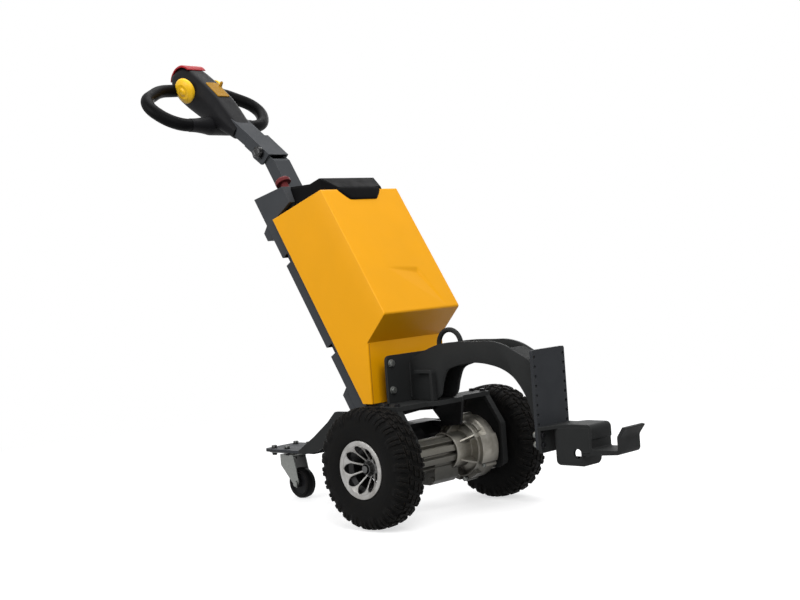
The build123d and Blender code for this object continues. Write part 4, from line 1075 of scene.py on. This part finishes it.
switch = piece("nose_switch", strip_points, RED_PLASTIC, "red_plastic", "control_arm", sharp=50)
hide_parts("belly_switch")

# %% [markdown]
# ## Thumb paddles
# A paddle is a thick dished disc that the thumb rolls forward or back. It faces a little down, and a
# shallow ring runs round its hub. Its height over the disc is a dome less that ring.


# %% Paddles
def paddle_disc(radius, thick):
    """Rings from the hub out over a dome and back under it; the shallow ring is a dip by radius."""
    top = np.linspace(0, 0.93, 30)
    dome = 1 - 0.42 * top**2.4 - 0.14 * block(top, 0.20, 0.56, 0.14)
    rings = np.concatenate([top, [0.97, 0.995, 1.0, 0.985, 0.94, 0.0]])
    height = thick * np.concatenate([dome, [0.56, 0.46, 0.34, 0.2, 0.08, 0.0]])
    return turned(radius * rings[:, None], full_turn(72), height[:, None])


for side_name, side in (("right", -1), ("left", 1)):
    grid = stood(paddle_disc(39.5, 24.0), on_arm(381, side * 45.0, 2), (0, side, -0.36))
    name = f"paddle_disc_{side_name}"
    disc = piece(name, grid, YELLOW_PLASTIC, "yellow_plastic", "control_arm", sharp=45)
    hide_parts(f"paddle_{side_name}")

# %% [markdown]
# ## Saddle of the loop handle
# Where the handle's front bar crosses under the head, the moulding grows round it on both sides like
# a trumpet. It is one tube along the bar whose radius swells toward the middle.

# %% Saddle
LOOP_TILT = np.radians(42)
LOOP_WAY = np.array([-np.cos(LOOP_TILT), 0, np.sin(LOOP_TILT)])
BAR_RADIUS, SWELL, SWELL_END, SWELL_LENGTH = 20.2, 8.8, 112, 68
bar_place = on_arm(320, 0, -32.4) - 0.083 * LOOP_WAY
saddle_y = np.linspace(-116, 116, 60)
saddle_radius = BAR_RADIUS + SWELL * np.clip((SWELL_END - np.abs(saddle_y)) / SWELL_LENGTH, 0, 1) ** 1.7
saddle = carried(bar_place + 0.001 * saddle_y[:, None] * ACROSS, AHEAD, saddle_radius, 40)
piece("loop_saddle", saddle, BLACK_PLASTIC, "black_plastic", "control_arm", sharp=50)

# %% [markdown]
# ## Clamp knob
# The near end of the arm's clamp bolt carries a black knob with finger lobes. Its section is a dome,
# and the lobes are a wave in the radius round it that dies out toward the middle of the face.


# %% Clamp knob
def lobed_knob(radius, height, lobes):
    """Rings over a dome whose radius waves by lobes, strongest at the widest ring."""
    rings = np.array([
        (0, 0), (0.62, 0), (0.80, 1.0), (0.97, 3.0), (1.0, 6.0), (0.97, height - 4),
        (0.86, height - 1.6), (0.66, height - 0.2), (0.50, height), (0.46, height - 0.8),
        (0.30, height - 1.2), (0, height - 1.2),
    ])
    angle = full_turn(72)
    wave = 1 - 0.10 * np.clip((rings[:, :1] - 0.6) / 0.35, 0, 1) * (1 - np.cos(lobes * angle)) / 2
    return turned(radius * rings[:, :1] * wave, angle, rings[:, 1:])


knob_grid = stood(lobed_knob(17.5, 17.0, 6), PIVOT + [0, -0.0365, 0], -ACROSS)
piece("clamp_knob", knob_grid, KNOB_PLASTIC, "black_plastic", "chassis", sharp=50)

# %% [markdown]
# ## Panel and key
# The panel is a thin yellow plate laid into the head's top, with a small winged key beside it.

# %% Panel and key
PANEL_ROWS = np.array([(263, 19), (265, 21.6), (300, 22.4), (336, 21.6), (338, 19)])
PANEL_RING = np.array([(-1, -1.5), (-1, 1.6), (-0.95, 2.6), (0.95, 2.6), (1, 1.6), (1, -1.5)])
PANEL_MIDDLE = -1.0
panel_across = PANEL_ROWS[:, 1:] * PANEL_RING[None, :, 0] + PANEL_MIDDLE
panel_above = np.interp(PANEL_ROWS[:, :1], [263, 338], [43.6, 49.6]) + PANEL_RING[None, :, 1]
panel_points = capped(on_arm(PANEL_ROWS[:, :1], panel_across, panel_above))
panel = piece("head_plate", panel_points, PANEL_PLASTIC, "yellow_plastic", "control_arm", sharp=25)
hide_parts("head_panel")
key_grid = stood(lobed_knob(7.5, 16.0, 2) * [0.62, 1, 1], on_arm(322, 24, 48), ABOVE_ARM)
piece("winged_key", key_grid, PANEL_PLASTIC, "yellow_plastic", "control_arm", sharp=50)

# %% [markdown]
# ## Floor
# The floor has to look white to the camera, yet it must not light the machine from below,
# where the photograph is dark. Its material asks what kind of ray sees it: the camera and mirror
# reflections see a white floor with its shadow, and other rays see a dark one. A few metres out
# the floor is plain white light, so that it meets the white sky without a line.

# %% Floor and backdrop light
FLOOR_HALF = 30.0
BRIGHT_RAYS = ("Is Camera Ray", "Is Glossy Ray", "Is Transmission Ray")
floor_mesh = bpy.data.meshes.new("floor")
corners = [(-FLOOR_HALF, -FLOOR_HALF, 0), (FLOOR_HALF, -FLOOR_HALF, 0), (FLOOR_HALF, FLOOR_HALF, 0)]
floor_mesh.from_pydata([*corners, (-FLOOR_HALF, FLOOR_HALF, 0)], [], [(0, 1, 2, 3)])
floor = bpy.data.objects.new("floor", floor_mesh)
bpy.context.scene.collection.objects.link(floor)

ground = Finish("studio_floor", Roughness=0.9, Specular_IOR_Level=0.0, Emission_Strength=1.0)
by_camera, by_gloss, by_glass = (
    ground.node("ShaderNodeLightPath", {}, out=kind) for kind in BRIGHT_RAYS
)
seen = (by_camera + by_gloss + by_glass).maths("ADD", 0.0, clamp=True)
far_out = ground.vector("LENGTH", ground.place, out="Value").between(1.3, 2.6)
near_base = ground.mix(seen, tint(125, 125, 125), tint(200, 200, 200))
near_glow = ground.mix(seen, tint(0, 0, 0), tint(206, 206, 206))
ground.feed(Base_Color=ground.mix(far_out, near_base, tint(0, 0, 0)))
ground.feed(Emission_Color=ground.mix(far_out * seen, near_glow, tint(255, 255, 255)))
floor_mesh.materials.append(ground.done())

world = bpy.data.worlds.new("studio")
world.use_nodes = True
bpy.context.scene.world = world
world_nodes, world_links = world.node_tree.nodes, world.node_tree.links
world_nodes.clear()
background = world_nodes.new("ShaderNodeBackground")
sky_share = world_nodes.new("ShaderNodeLightPath").outputs[BRIGHT_RAYS[0]]
for kind in BRIGHT_RAYS[1:]:
    total = world_nodes.new("ShaderNodeMath")
    total.operation, total.use_clamp = "ADD", True
    world_links.new(sky_share, total.inputs[0])
    world_links.new(world_nodes.new("ShaderNodeLightPath").outputs[kind], total.inputs[1])
    sky_share = total.outputs[0]
pick = world_nodes.new("ShaderNodeMix")
pick.data_type = "RGBA"
pick.inputs[6].default_value = (0.32, 0.32, 0.33, 1)
pick.inputs[7].default_value = (1, 1, 1, 1)
world_links.new(sky_share, pick.inputs[0])
world_links.new(pick.outputs[2], background.inputs[0])
world_links.new(background.outputs[0], world_nodes.new("ShaderNodeOutputWorld").inputs[0])
print("floor and sky ready")
